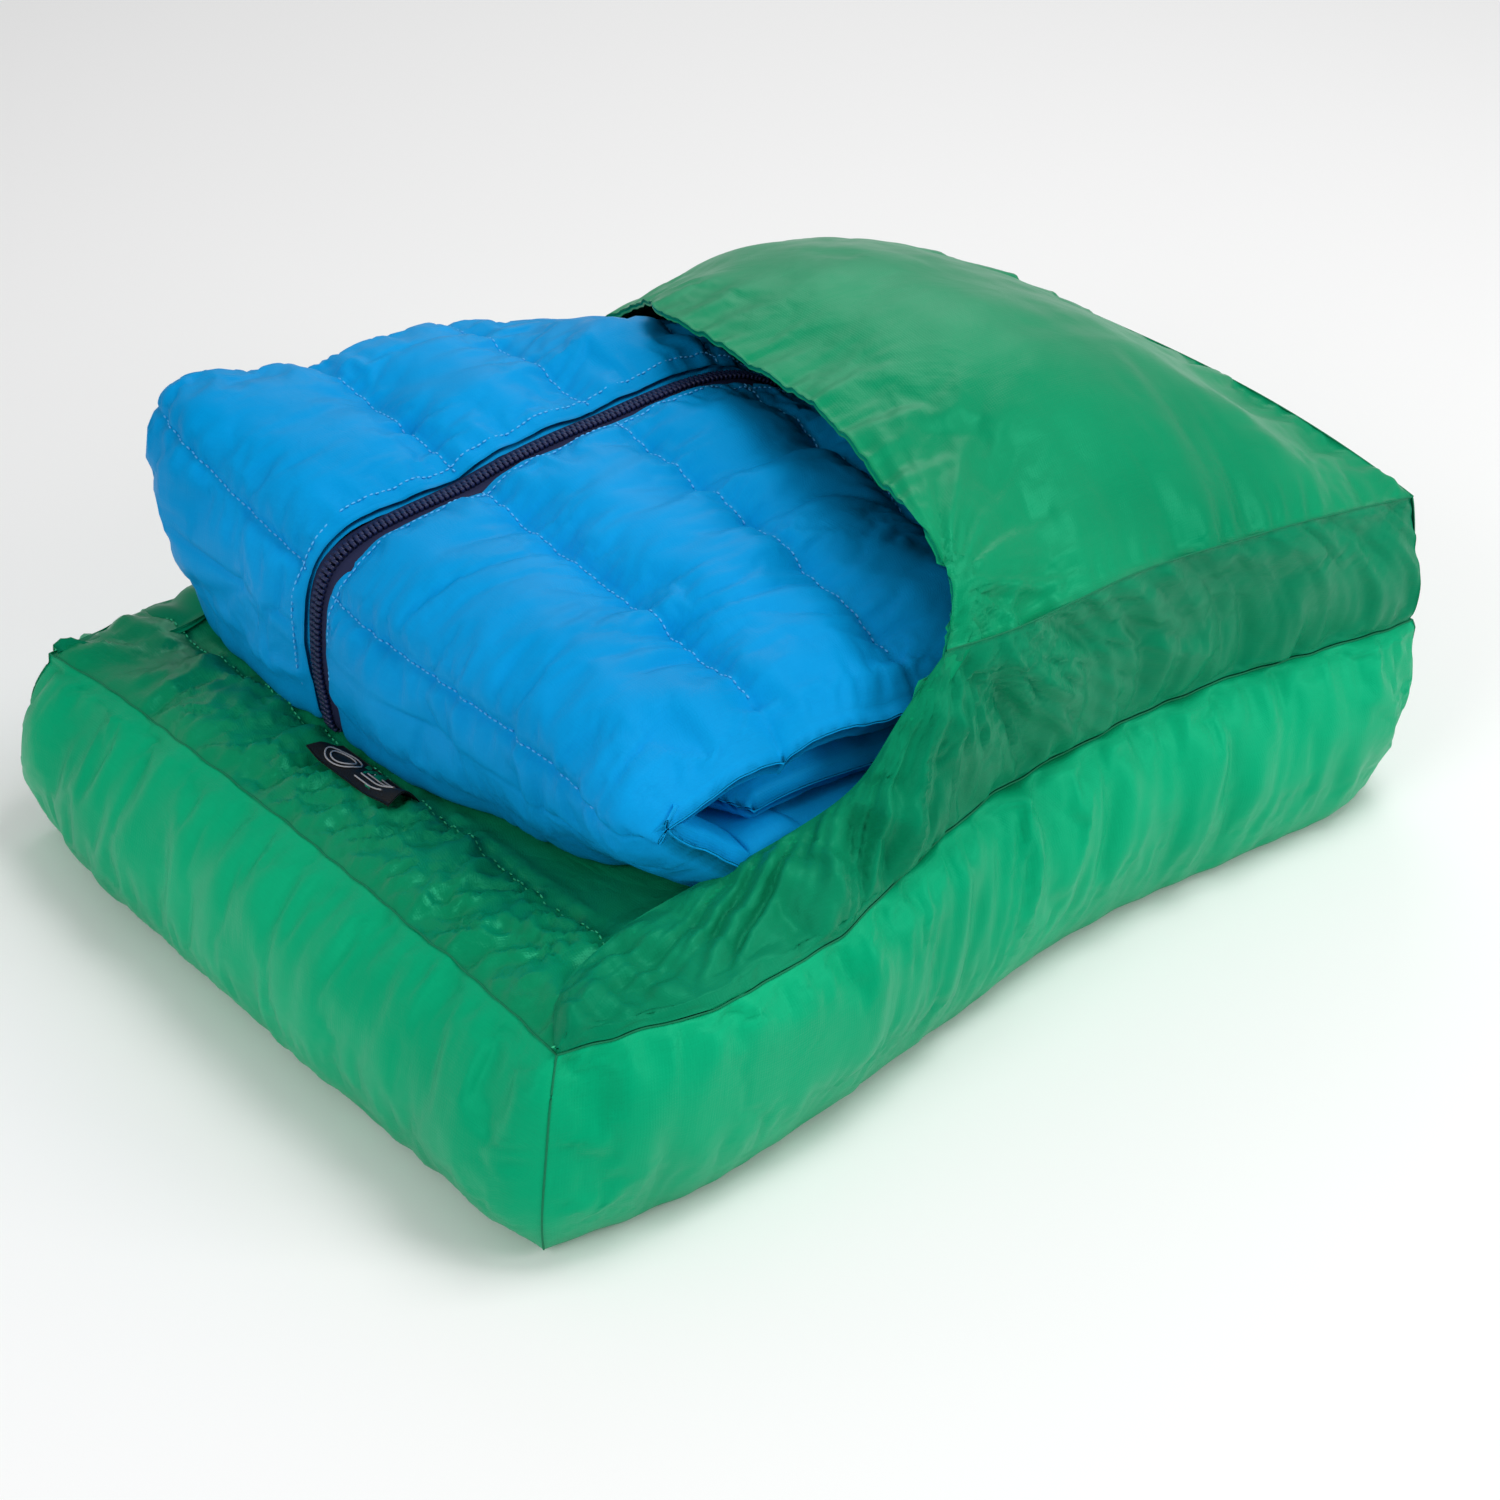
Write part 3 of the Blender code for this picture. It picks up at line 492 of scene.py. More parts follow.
def plain(name, colour, rough, metal=0.0, grain=220.0, strength=.2, distance=.0003):
    """Small hard or woven things: one colour with a fine grain."""
    mat = bpy.data.materials.new(name)
    mat.use_nodes = True
    tree = mat.node_tree
    shader = tree.nodes["Principled BSDF"]
    shader.inputs["Metallic"].default_value = metal
    shader.inputs["Specular IOR Level"].default_value = .5 if metal else .25
    coords = tree.nodes.new("ShaderNodeTexCoord")
    n = node(tree, "ShaderNodeTexNoise", Scale=grain, Detail=3.0)
    ramp = tree.nodes.new("ShaderNodeValToRGB")
    ramp.color_ramp.elements[0].color = (*[c * .75 for c in colour], 1)
    ramp.color_ramp.elements[1].color = (*[min(1, c * 1.25) for c in colour], 1)
    b = node(tree, "ShaderNodeBump", Strength=strength, Distance=distance)
    r = node(tree, "ShaderNodeMapRange")
    r.inputs["To Min"].default_value = max(.05, rough - .07)
    r.inputs["To Max"].default_value = rough + .07
    tree.links.new(coords.outputs["Object"], n.inputs["Vector"])
    tree.links.new(n.outputs["Fac"], ramp.inputs[0])
    tree.links.new(ramp.outputs[0], shader.inputs["Base Color"])
    tree.links.new(n.outputs["Fac"], b.inputs["Height"])
    tree.links.new(b.outputs[0], shader.inputs["Normal"])
    tree.links.new(n.outputs["Fac"], r.inputs[0])
    tree.links.new(r.outputs[0], shader.inputs["Roughness"])
    return mat


MATERIALS = {}


def use(name):
    """One of the object's finishes, made the first time it is asked for."""
    if name not in MATERIALS:
        s = bpy.context.scene.pillow_finish
        green, blue = tuple(s.lit_shell_green), tuple(s.quilt_blue)
        cloths = {       # colour, roughness, crinkle, its scale, sheen, gloss
            # pillow_shell and pillow_top are one green cloth: the walls' brighter green is painted light, the top's
            # darker green is painted shade; the top's higher gloss and crinkle are the cloth's own
            "pillow_shell": (green, .38, .16, 22, .01, .26),
            "pillow_top": (tuple(s.shaded_top_green), .30, .36, 15, .0, .5, .10, .0040),
            "sleeve_shell": (tuple(s.sleeve_green), .34, .10, 24, .01, .26),
            "gusset_shell": (tuple(s.gusset_green), .36, .05, 24, .0, .18, .12),
            "quilt_shell": (blue, .46, .15, 26, .01, .12),
        }
        plains = {       # colour, roughness, metal, grain, strength of the grain
            "green_thread": (tuple(min(1, c * 1.2 + .03) for c in green), .6, 0, 900),
            # half the pillow green: the thin cords drawn with it along the seams are raised ridges whose dark colour
            # is painted shadow of the seam creases
            "seam_shadow_green": (tuple(c * .5 for c in green), .7, 0, 900),
            "blue_thread": (tuple(min(1, c * 1.25 + .09) for c in blue), .55, 0, 900),
            "zip_tape": (tuple(s.zip_navy), .75, 0, 1600, .5),
            "zip_teeth": (tuple(c * 1.3 for c in s.zip_navy), .35, 0, 300),
            "zip_metal": ((.05, .055, .075), .35, .8, 300),
            "label_black": ((.008, .008, .009), .6, 0, 1500, .6),
            "label_grey": ((.42, .42, .44), .55, 0, 1500, .4),
            "baffle_cloth": ((.75, .78, .76), .7, 0, 900),
        }
        MATERIALS[name] = fabric(name, *cloths[name]) if name in cloths else plain(name, *plains[name])
    return MATERIALS[name]


# ---------------------------------------------------------------- repeated things by Geometry Nodes
def row_tree(name, shape, turned="Y"):
    """A node tree that sets one small shape along a line at an even pitch, each turned along the line."""
    tree = bpy.data.node_groups.new(name, "GeometryNodeTree")
    face = tree.interface
    face.new_socket("Geometry", in_out="INPUT", socket_type="NodeSocketGeometry")
    for label, value in (("Pitch", .003), ("Length", .0022), ("Width", .0006), ("Height", .0004)):
        s = face.new_socket(label, in_out="INPUT", socket_type="NodeSocketFloat")
        s.default_value = value
        s.subtype = "DISTANCE"
    face.new_socket("Finish", in_out="INPUT", socket_type="NodeSocketMaterial")
    face.new_socket("Geometry", in_out="OUTPUT", socket_type="NodeSocketGeometry")
    start, end = tree.nodes.new("NodeGroupInput"), tree.nodes.new("NodeGroupOutput")
    link = tree.links.new
    curve = tree.nodes.new("GeometryNodeMeshToCurve")
    even = tree.nodes.new("GeometryNodeResampleCurve")
    even.mode = "LENGTH"
    tangent = tree.nodes.new("GeometryNodeInputTangent")
    turn = tree.nodes.new("FunctionNodeAlignRotationToVector")
    turn.axis = "X"
    turn.pivot_axis = turned
    if shape == "stitch":
        item = tree.nodes.new("GeometryNodeMeshUVSphere")
        item.inputs["Segments"].default_value = 6
        item.inputs["Rings"].default_value = 4
        item.inputs["Radius"].default_value = .5
    else:
        item = tree.nodes.new("GeometryNodeMeshCube")
        item.inputs["Size"].default_value = (1, 1, 1)
        item.inputs["Vertices X"].default_value = 3
        item.inputs["Vertices Y"].default_value = 3
        item.inputs["Vertices Z"].default_value = 2
    scale = tree.nodes.new("ShaderNodeCombineXYZ")
    for a, b in (("Length", "X"), ("Width", "Y"), ("Height", "Z")):
        link(start.outputs[a], scale.inputs[b])
    fit = tree.nodes.new("GeometryNodeTransform")
    link(item.outputs["Mesh"], fit.inputs["Geometry"])
    link(scale.outputs[0], fit.inputs["Scale"])
    place = tree.nodes.new("GeometryNodeInstanceOnPoints")
    real = tree.nodes.new("GeometryNodeRealizeInstances")
    paint = tree.nodes.new("GeometryNodeSetMaterial")
    link(start.outputs["Geometry"], curve.inputs[0])
    link(curve.outputs[0], even.inputs["Curve"])
    link(start.outputs["Pitch"], even.inputs["Length"])
    link(tangent.outputs[0], turn.inputs["Vector"])
    link(even.outputs[0], place.inputs["Points"])
    link(fit.outputs[0], place.inputs["Instance"])
    link(turn.outputs[0], place.inputs["Rotation"])
    link(place.outputs[0], real.inputs[0])
    link(real.outputs[0], paint.inputs["Geometry"])
    link(start.outputs["Finish"], paint.inputs["Material"])
    link(paint.outputs[0], end.inputs[0])
    return tree


def row(name, lines, tree, finish, **sizes):
    """Runs a row tree over a set of lines and keeps the result as one plain mesh."""
    verts, edges = [], []
    for line in lines:
        base = len(verts)
        verts += [tuple(p) for p in np.asarray(line).tolist()]
        edges += [(base + i, base + i + 1) for i in range(len(line) - 1)]
    mesh = bpy.data.meshes.new(name + "_path")
    mesh.from_pydata(verts, edges, [])
    path = bpy.data.objects.new(name + "_path", mesh)
    bpy.context.collection.objects.link(path)
    mod = path.modifiers.new("row", "NODES")
    mod.node_group = tree
    for item in tree.interface.items_tree:
        if item.in_out == "INPUT" and item.name in sizes:
            mod[item.identifier] = sizes[item.name]
        if item.in_out == "INPUT" and item.name == "Finish":
            mod[item.identifier] = use(finish)
    bpy.context.view_layer.update()
    deps = bpy.context.evaluated_depsgraph_get()
    result = bpy.data.meshes.new_from_object(path.evaluated_get(deps))
    result.name = name
    obj = bpy.data.objects.new(name, result)
    bpy.context.collection.objects.link(obj)
    bpy.data.objects.remove(path)
    result.polygons.foreach_set("use_smooth", [True] * len(result.polygons))
    if not result.materials:
        result.materials.append(use(finish))
    return obj


TREES = {}


def stitch_tree():
    if "stitch" not in TREES:
        TREES["stitch"] = row_tree("Stitch row", "stitch", "AUTO")
    return TREES["stitch"]


# ---------------------------------------------------------------- surfaces
def coons(front, back, left, right):
    """A smooth grid inside four border lines. front and back run along u, left and right along v."""
    nu, nv = len(front), len(left)
    u, v = np.linspace(0, 1, nu)[:, None, None], np.linspace(0, 1, nv)[None, :, None]
    f, b, l, r = front[:, None], back[:, None], left[None], right[None]
    corners = ((1 - u) * (1 - v) * front[0] + u * (1 - v) * front[-1]
               + (1 - u) * v * back[0] + u * v * back[-1])
    return (1 - v) * f + v * b + (1 - u) * l + u * r - corners


def pillow_grid(nu, nv, foot=False):
    """The pillow's top, or its underside where it meets the ground."""
    if foot:
        lines = FOOT_FRONT, FOOT_BACK, FOOT_MOUTH, FOOT_END
    else:
        lines = PILLOW_SEAM_FRONT, PILLOW_SEAM_BACK, PILLOW_SEAM_MOUTH, PILLOW_SEAM_END
    a, b, c, d = (wavy(by_length(line, n), axis, 50 + 5 * k)
                  for k, (line, n, axis) in enumerate(zip(lines, (nu, nu, nv, nv), (0, 0, 1, 1))))
    return coons(a, b, c, d)


def edge_distance(grid):
    """Distance of each point of a grid from the nearest border, and the run along that border."""
    u, v = lengths(grid)
    left, right, low, high = u, u[-1:] - u, v, v[:, -1:] - v
    nearest = np.minimum(np.minimum(left, right), np.minimum(low, high))
    on_side = np.minimum(left, right) < np.minimum(low, high)
    return nearest, np.where(on_side, v, u)


def pillow_top(nu, nv):
    """The pillow's top with its crown, sewn lines and creases."""
    g = pillow_grid(nu, nv)
    x, y = g[..., 0], g[..., 1]
    border = g.copy()
    d, run = edge_distance(g)
    u, v = lengths(g)
    under = ease((x + .190) / .02) * ease((.20 - x) / .03) * ease((y + .150) / .02) * ease((.165 - y) / .02)
    crown = .0058 * (1 - np.exp(-d / .009)) * (1 - .75 * under)
    creases = .0074 * (crumple(u * .55, v, .020, 31) - .45) + .0046 * (crumple(u * .6, v, .0105, 47) - .45)
    creases = creases * (1 - .8 * under) * (1 - np.exp(-d / .006)) * (1 - .75 * ease((y - .09) / .05))
    lift = crown + creases + gathers(run, d, 11, .0030) * np.where(d < .09, 1, 0) * (1 - np.exp(-d / .002))
    sewn = 0
    for k, line in enumerate(PILLOW_LINES):
        away = np.abs(x - line)
        sewn = sewn + .0052 * np.exp(-away / .006) * (1 - .55 * under)
        lift = lift + gathers(y, away, 61 + k, .0028) * (1 - .8 * under)
    lift = lift - sewn * np.clip(d / .02, 0, 1)
    g[..., 2] += lift
    covered = ease((-.145 - y) / .012) * ease((x + .222) / .02)
    cap = .0885 + (.0075 - .0060 * covered) * (1 - under)
    g[..., 2] = np.minimum(g[..., 2], cap + .0015 * noise(u / .01, v / .01, 5) * (1 - under) * (1 - covered))
    g[0], g[-1], g[:, 0], g[:, -1] = border[0], border[-1], border[:, 0], border[:, -1]
    return g


def ring(grid):
    """The border points of a grid, once round."""
    return np.concatenate([grid[:-1, 0], grid[-1, :-1], grid[:0:-1, -1], grid[0, :0:-1]])


def ring_index(n, m):
    a = np.arange(n * m).reshape(n, m)
    return np.concatenate([a[:-1, 0], a[-1, :-1], a[:0:-1, -1], a[0, :0:-1]])


def pillow_body(rows=42, nu=204, nv=152):
    """The pillow as one closed cloth form: top, underside and four swollen walls. Also its top and seams."""
    top, foot = pillow_top(nu, nv), pillow_grid(nu, nv, True)
    d, _ = edge_distance(foot)
    foot[..., 2] = .004 * np.exp(-d / .005)
    s, f = ring(top), ring(foot)
    n = len(s)
    # outward direction round the ring, softened at the corners
    nxt, prv = np.roll(f, -3, 0), np.roll(f, 3, 0)
    out = np.stack([(nxt - prv)[:, 1], -(nxt - prv)[:, 0], np.zeros(n)], 1)
    out /= np.linalg.norm(out, axis=1, keepdims=True)
    for _ in range(6):
        out = (np.roll(out, 1, 0) + out + np.roll(out, -1, 0)) / 3
    out /= np.linalg.norm(out, axis=1, keepdims=True)
    run = np.concatenate([[0], np.cumsum(np.linalg.norm(np.diff(s, axis=0), axis=1))])
    corners = [0, nu - 1, nu + nv - 2, 2 * nu + nv - 3]
    gaps = [np.minimum(np.abs(run - run[c]), run[-1] - np.abs(run - run[c])) for c in corners]
    to_corner = np.min(gaps, 0)
    side = np.searchsorted(corners, np.arange(n), "right") - 1        # 0 front, 1 end, 2 back, 3 mouth
    belly = np.choose(side, [.0100, .010, .0115, .0145])
    for _ in range(14):
        belly = (np.roll(belly, 1) + belly + np.roll(belly, -1)) / 3
    near = np.exp(-np.array(gaps) / .028)
    belly = belly * (1 - (near * np.array([.10, .78, .6, .3])[:, None]).sum(0))
    v = np.linspace(0, 1, rows + 2)[1:-1][:, None]
    shape = (1 - np.abs(2 * v ** .92 - 1) ** 3.0)
    base = s[None] * (1 - v[..., None]) + f[None] * v[..., None]
    push = belly[None] * shape
    low_push = .004 * np.sin(np.pi * np.clip(v, 0, 1)) * np.where(side == 3, 1, .6)[None]
    push = push + low_push
    height = v * .088
    top_away, low_away = height, .088 - height
    r = run[None] * np.ones_like(v)
    wrinkle = gathers(r, top_away, 101, .0042, 1.1) + gathers(r, low_away, 121, .0012, .8)
    wrinkle = wrinkle * np.clip(np.minimum(top_away, low_away) / .004, 0, 1)
    xx = base[..., 0]
    near = bump(xx, -.02, .075) + .55 * bump(xx, .10, .06)
    lean = r + .25 * height
    wide = .0085 * noise(lean / .021, height / .16, 140)
    narrow = .0045 * (.4 - np.abs(noise(lean / .012, height / .10, 141)))
    folds = np.where(side == 0, 1, 0)[None] * near * (wide + narrow)
    soft = .0024 * noise(r / .045, height / .05, 150)
    fine = .0011 * noise(r / .016, height / .03, 152)
    push = push + wrinkle + (folds * (1 - .65 * v) + soft) * np.clip(shape, 0, 1) + fine * shape
    # the vertical seams draw in a little
    push = push - .0022 * np.exp(-(to_corner / .003) ** 2)[None] * shape
    wall = base + out[None] * push[..., None]
    wall[..., 2] = np.clip(wall[..., 2], FLOOR_CLEAR, None)
    full = np.concatenate([s[None], wall, f[None]]).transpose(1, 0, 2)[:, ::-1]
    held = np.zeros(full.shape[:2])
    held[:, :2] = held[:, -2:] = 1
    held = np.maximum(held, np.exp(-(to_corner / .003) ** 2)[:, None])
    held = np.maximum(held, np.clip(1 - np.arange(full.shape[1]) / 12, 0, 1)[None])
    wall = puff_grid(full, held, .9, .05, .0032, True)[:, ::-1].transpose(1, 0, 2)[1:-1]
    wall[..., 2] = np.clip(wall[..., 2], FLOOR_CLEAR, None)
    for axis, limit in ((0, .266), (1, .207)):
        over = np.maximum(-wall[..., axis] - limit, 0)
        wall[..., axis] += over - .004 * np.tanh(over / .004)
    nt = nu * nv
    ti, fi = np.arange(nt).reshape(nu, nv), nt + np.arange(nt).reshape(nu, nv)
    wi = 2 * nt + np.arange(rows * n).reshape(rows, n)
    index = np.concatenate([ring_index(nu, nv)[None], wi, nt + ring_index(nu, nv)[None]])
    index = np.concatenate([index, index[:, :1]], 1)
    grid = np.concatenate([s[None], wall, f[None]])
    grid = np.concatenate([grid, grid[:, :1]], 1)
    wall_faces = quads(index.T)[:, ::-1]
    gu, gv = lengths(grid.transpose(1, 0, 2))
    wall_uv = corner_uv(gu, gv)[:, ::-1]
    tu, tv = lengths(top)
    faces = np.concatenate([quads(ti), quads(fi)[:, ::-1], wall_faces])
    uvs = np.concatenate([corner_uv(tu, tv), corner_uv(tu, tv)[:, ::-1], wall_uv])
    obj = build("pillow_body", np.concatenate([top.reshape(-1, 3), foot.reshape(-1, 3), wall.reshape(-1, 3)]),
                faces, uvs, use("pillow_shell"))
    obj.data.materials.append(use("pillow_top"))
    count = len(quads(ti))
    which = np.zeros(len(faces), int)
    which[:count] = 1
    obj.data.polygons.foreach_set("material_index", which)
    obj.data.update()
    upright = [np.concatenate([s[c:c + 1], wall[:, c], f[c:c + 1]]) for c in corners]
    seams = [np.concatenate([s, s[:1]])] + upright
    return obj, top, seams


def quilt_face(ny, y0, y1):
    """The quilt's outer face as a grid: u round the nose and over the top, v across from front to back."""
    y = np.linspace(y0, y1, ny)
    kx = np.stack([through(row, y, QUILT_Y) for row in QUILT_X])
    kz = np.stack([through(row, y, QUILT_Y) for row in QUILT_Z])
    pts = np.stack([kx, kz], -1)
    slope = np.zeros_like(pts)
    gap = np.linalg.norm(np.diff(pts, axis=0), axis=2, keepdims=True)
    rise = np.diff(pts, axis=0) / gap
    slope[1:-1] = (rise[:-1] * gap[1:] + rise[1:] * gap[:-1]) / (gap[1:] + gap[:-1])
    slope[0], slope[-1] = (-1, 0), rise[-1]
    slope[1] = (-1, .12)
    slope[8], slope[9] = (1, 0), (1, 0)
    rows, crown, line_at = [], [], []
    for k, steps in enumerate(QUILT_STEPS):
        t = np.linspace(0, 1, steps + 1)[: None if k == len(QUILT_STEPS) - 1 else -1, None, None]
        h = gap[k]
        rows.append((2 * t ** 3 - 3 * t ** 2 + 1) * pts[k] + (t ** 3 - 2 * t ** 2 + t) * h * slope[k]
                    + (-2 * t ** 3 + 3 * t ** 2) * pts[k + 1] + (t ** 3 - t ** 2) * h * slope[k + 1])
        crown.append(QUILT_CROWN[k] * (1 - np.abs(2 * t[:, 0, 0] - 1) ** 2.3))
        line_at.append(len(crown[-1]))
    flat = np.concatenate(rows)
    crown = np.concatenate(crown)
    grid = np.stack([flat[..., 0], np.broadcast_to(y, flat.shape[:2]), flat[..., 1]], -1)
    starts = np.concatenate([[0], np.cumsum(line_at)])
    return grid, crown, starts


def quilt_surface(ny, y0, y1, seed, zip_side=0):
    """The finished outer face with crowns, puckers along the sewn lines and soft folds.

    zip_side is the v end that meets the zip, or 0.
    """
    grid, crown, starts = quilt_face(ny, y0, y1)
    u, v = lengths(grid)
    n = normals(grid)
    if n[len(n) // 2, ny // 2, 2] < 0:
        n = -n
    y = grid[..., 1]
    to_zip = np.abs(y - ZIP_Y)
    level = ease((grid[..., 0] - .075) / .02)
    # crowns, lower near the zip and at both open ends
    lift = crown[:, None] * (1 - .70 * bump(y, .168, .04)) * (1 - .9 * np.exp(-(to_zip / .020) ** 2))
    lift = lift * (1 - .55 * np.exp(-np.abs(y + .157) / .018)) * (1 - level * bump(y, ZIP_Y, .03))
    wav = 0
    for i, k in enumerate(QUILT_LINES):
        away = np.abs(u - u[starts[k]][None])
        wav = wav + gathers(y + .011 * i, away, 200 + 10 * i, .0025, 1.25) - .0018 * np.exp(-away / .0028)
    wav = wav * np.clip((to_zip - ZIP_HALF) / .009, .06, 1)
    beside_zip = gathers(u, np.maximum(to_zip - ZIP_HALF, 0), 300, .0016, .8)
    beside_zip = beside_zip * (1 - level) * np.clip((to_zip - ZIP_HALF) / .003, .25, 1)
    edges = gathers(u, np.abs(y - y0) if zip_side else np.abs(y1 - y), 320, .0008, 1.2)
    soft = .0020 * noise(u / .050, v / .060, seed) + .0011 * noise(u / .022, v / .030, seed + 1)
    ridges = np.abs(noise(u / .055, y / .012 + .5 * noise(u / .04, y / .04, 9), 333)) ** .8 - .45
    long = (bump(y, -.10, .06) + .4) * .0028 * ridges * ease(noise(u / .05, y / .05, 335) * 2 + .5)
    lift = lift + (wav + beside_zip + edges * .6 + soft + long) * (1 - .75 * level) * np.clip(u / .03, 0, 1)
    return grid + n * lift[..., None], n, u, v, starts


def half_round(d, reach):
    """0 at an edge, 1 beyond reach, on a quarter circle."""
    t = np.clip(d / reach, 0, 1)
    return np.sqrt(1 - (1 - t) ** 2)


def quilt_layer(name, y0, y1, zip_end, ny):
    """One puffed outer layer: rolled at the open edge and at both ends, thin where it is sewn to the zip."""
    s, n, u, v, starts = quilt_surface(ny, y0, y1, 400 if zip_end else 420, 1 if zip_end else 0)
    d_open = (v if zip_end else v[:, -1:] - v)
    d_zip = (v[:, -1:] - v if zip_end else v)
    d_ends = np.minimum(u, u[-1:] - u)
    half = LAYER / 2
    roll = half_round(d_open, .015 if zip_end else .011) * half_round(d_ends, .012)
    taper = 1 - np.exp(-d_zip / .010)
    dip = .0028 * np.exp(-d_zip / .0040)
    thick = .0010 + (LAYER - .001) * roll * (.12 + .88 * taper)
    fall = half * (1 - roll) + dip
    top = s - n * fall[..., None]
    low = top - n * thick[..., None]
    low[..., 2] = np.maximum(low[..., 2], PILLOW_TOP_Z)
    top[..., 2] = np.maximum(top[..., 2], PILLOW_TOP_Z)
    obj = slab(name, top, low, use("quilt_shell"))
    sewn = np.zeros(len(top))
    for k in QUILT_LINES:
        sewn = np.maximum(sewn, np.exp(-(np.arange(len(top)) - starts[k]) ** 2 / 1.6))
    sewn[:starts[2]] = 1
    held = np.maximum(sewn[:, None], np.clip(1 - (np.minimum(d_zip, d_open) - .002) / .003, 0, 1))
    held = np.maximum(held, np.clip(1 - (u[-1:] - u) / .01, 0, 1))
    held = np.maximum(held, ease((top[..., 0] - .06) / .03))
    puff(obj, np.concatenate([held.reshape(-1), np.ones(held.size)]), 1.6, .045, .0035)
    return obj, top, starts


def fold_pad(name, x0, x1, y0, y1, low_at, high_at, seed, roll, flat_under, step=.0035):
    """A puffed inner fold of the quilt between two heights, round at every edge.

    x0 holds the y and x of the end near the mouth, x1 is the other end.
    """
    nx, ny = int(abs(x1 - np.min(x0)) / step), int((y1 - y0) / step)
    v = np.linspace(0, 1, ny)
    v = .5 - .5 * np.cos(np.pi * (.12 + .76 * v))
    v = (v - v[0]) / (v[-1] - v[0])
    y = y0 + (y1 - y0) * v
    xs = np.interp(y, *x0)
    t = np.linspace(0, 1, nx)[:, None]
    t = (.5 - .5 * np.cos(np.pi * (.08 + .84 * t)))
    t = (t - t[0]) / (t[-1] - t[0])
    x = xs[None] + (x1 - xs[None]) * t
    yy = np.broadcast_to(y, x.shape).copy()
    lo, hi = low_at(x, yy), high_at(x, yy)
    d = np.minimum(np.minimum(x - xs[None], x1 - x), np.minimum(yy - y0, y1 - yy))
    r = half_round(d, roll)
    mid, half = (lo + hi) / 2, (hi - lo) / 2
    near_mouth = .0042 * noise(x / .016, yy / .06, seed + 1) * np.exp(-(yy - y0) / .03)
    wrinkle = (.0014 * noise(x / .02, yy / .02, seed) + near_mouth) * r * .5
    deep = np.maximum(half * r, .0005)
    under = mid - deep + (0 if flat_under else wrinkle)
    top = np.stack([x, yy, mid + deep + wrinkle - .0008 * r], -1)
    low = np.stack([x, yy, np.maximum(under, PILLOW_TOP_Z)], -1)
    return slab(name, top, low, use("quilt_shell"))


# ---------------------------------------------------------------- sleeve
def lean_wall(foot, edge, nv, bulge, seed, folds=.0052):
    """A hanging wall of cloth between the pillow's seam and an upper edge, both given as rows of points."""
    v = np.linspace(0, 1, nv)[None, :, None]
    g = foot[:, None] * (1 - v) + edge[:, None] * v
    n = normals(g)
    u, w = lengths(g)
    high = w[:, -1:]
    mid = np.sin(np.pi * v[..., 0])
    sewn = gathers(u, w, seed, .0027, .9) + gathers(u, high - w, seed + 20, .0024, .9)
    lift = bulge * mid + sewn * np.clip(np.minimum(w, high - w) / .003, 0, 1)
    lift = lift + folds * noise((u + .2 * w) / .024, w / .2, seed + 40) * mid ** .6
    lift = lift + folds * .5 * noise((u - .1 * w) / .011, w / .1, seed + 41) * mid ** .6
    lift = lift + folds * .22 * noise(u / .0055, w / .12, seed + 42) * mid ** .4
    return g, n, lift


def wall_lines(x, pillow_seam, seed, top_seam, mouth_x, loose_edge, loose_foot):
    """Foot and upper edge of a side wall at x: loose beside the mouth, sewn to the sleeve's top beyond it."""
    s = wavy(through(pillow_seam, np.linspace(0, 1, 800)), 0, seed)
    foot = np.stack([x, np.interp(x, s[:, 0], s[:, 1]), np.interp(x, s[:, 0], s[:, 2]) + .0012], 1)
    t, xs = through(top_seam, np.linspace(0, 1, 800)), x[x >= mouth_x]
    upper = np.stack([np.minimum(xs, END_X), np.interp(xs, t[:, 0], t[:, 1]), np.interp(xs, t[:, 0], t[:, 2])], 1)
    return foot, np.concatenate([through(loose_edge, x[x < mouth_x], loose_foot), upper])


def sleeve_front_grid(nu=215, nv=44):
    """The sleeve's front wall: gathered at both seams, a crumpled loose flap beside the mouth."""
    x = np.linspace(-.2375, .236, nu)
    foot, edge = wall_lines(x, PILLOW_SEAM_FRONT, 50, TOP_SEAM_FRONT, MOUTH_FRONT_X, FLAP_EDGE, FLAP_FOOT_X)
    g, n, lift = lean_wall(foot, edge, nv, .0025, 500)
    xx = x[:, None]
    _, w = lengths(g)
    hold = np.sin(np.pi * np.linspace(0, 1, nv))[None] ** .5
    # folds fan out from the pinch, down the wall and along the loose flap beside the mouth
    px, pz = g[..., 0] + .026, g[..., 2] - .203
    r, angle = np.hypot(px, pz * 1.15), np.arctan2(pz, px)
    fan = .0085 * noise(angle * 5.2 + .5 * noise(r / .07, angle * 2, 561), r / .20, 562) * np.exp(-(r - .03) / .16)
    sharp = np.abs(noise(angle * 11.0 + .4 * noise(r / .05, angle * 2, 563), r / .12, 564)) - .35
    fan = fan + .0048 * sharp * np.exp(-r / .13)
    flapped = ease((-.05 - xx) / .05) * ease((xx + .238) / .012)
    lift = lift + fan * hold * np.clip(r / .02, 0, 1)
    from_pinch, above = g[..., 0] + .034, w - .090
    reach, spoke = np.hypot(from_pinch, above), np.arctan2(above, from_pinch)
    pleats = 0
    for k, (count, deep) in enumerate(((7.5, .0150), (17.0, .0060))):
        bend = .30 * noise(reach / .06, spoke * 2, 565 + k)
        pleats = pleats + deep * (np.abs(noise(spoke * count + bend, reach / .15, 567 + k)) - .06)
    beside = flapped + (1 - flapped) * .45 * bump(xx, -.02, .08)
    lift = lift + pleats * hold * beside * np.clip(reach / .02, 0, 1)
    out = g + n * lift[..., None]
    out[..., 2] = np.where(hold * flapped > .35, np.maximum(out[..., 2], .0945), out[..., 2])
    held = np.zeros(out.shape[:2])
    held[:, :2] = held[:, -2:] = held[:2] = held[-2:] = 1
    return puff_grid(out, held, .25, .025, .0022)


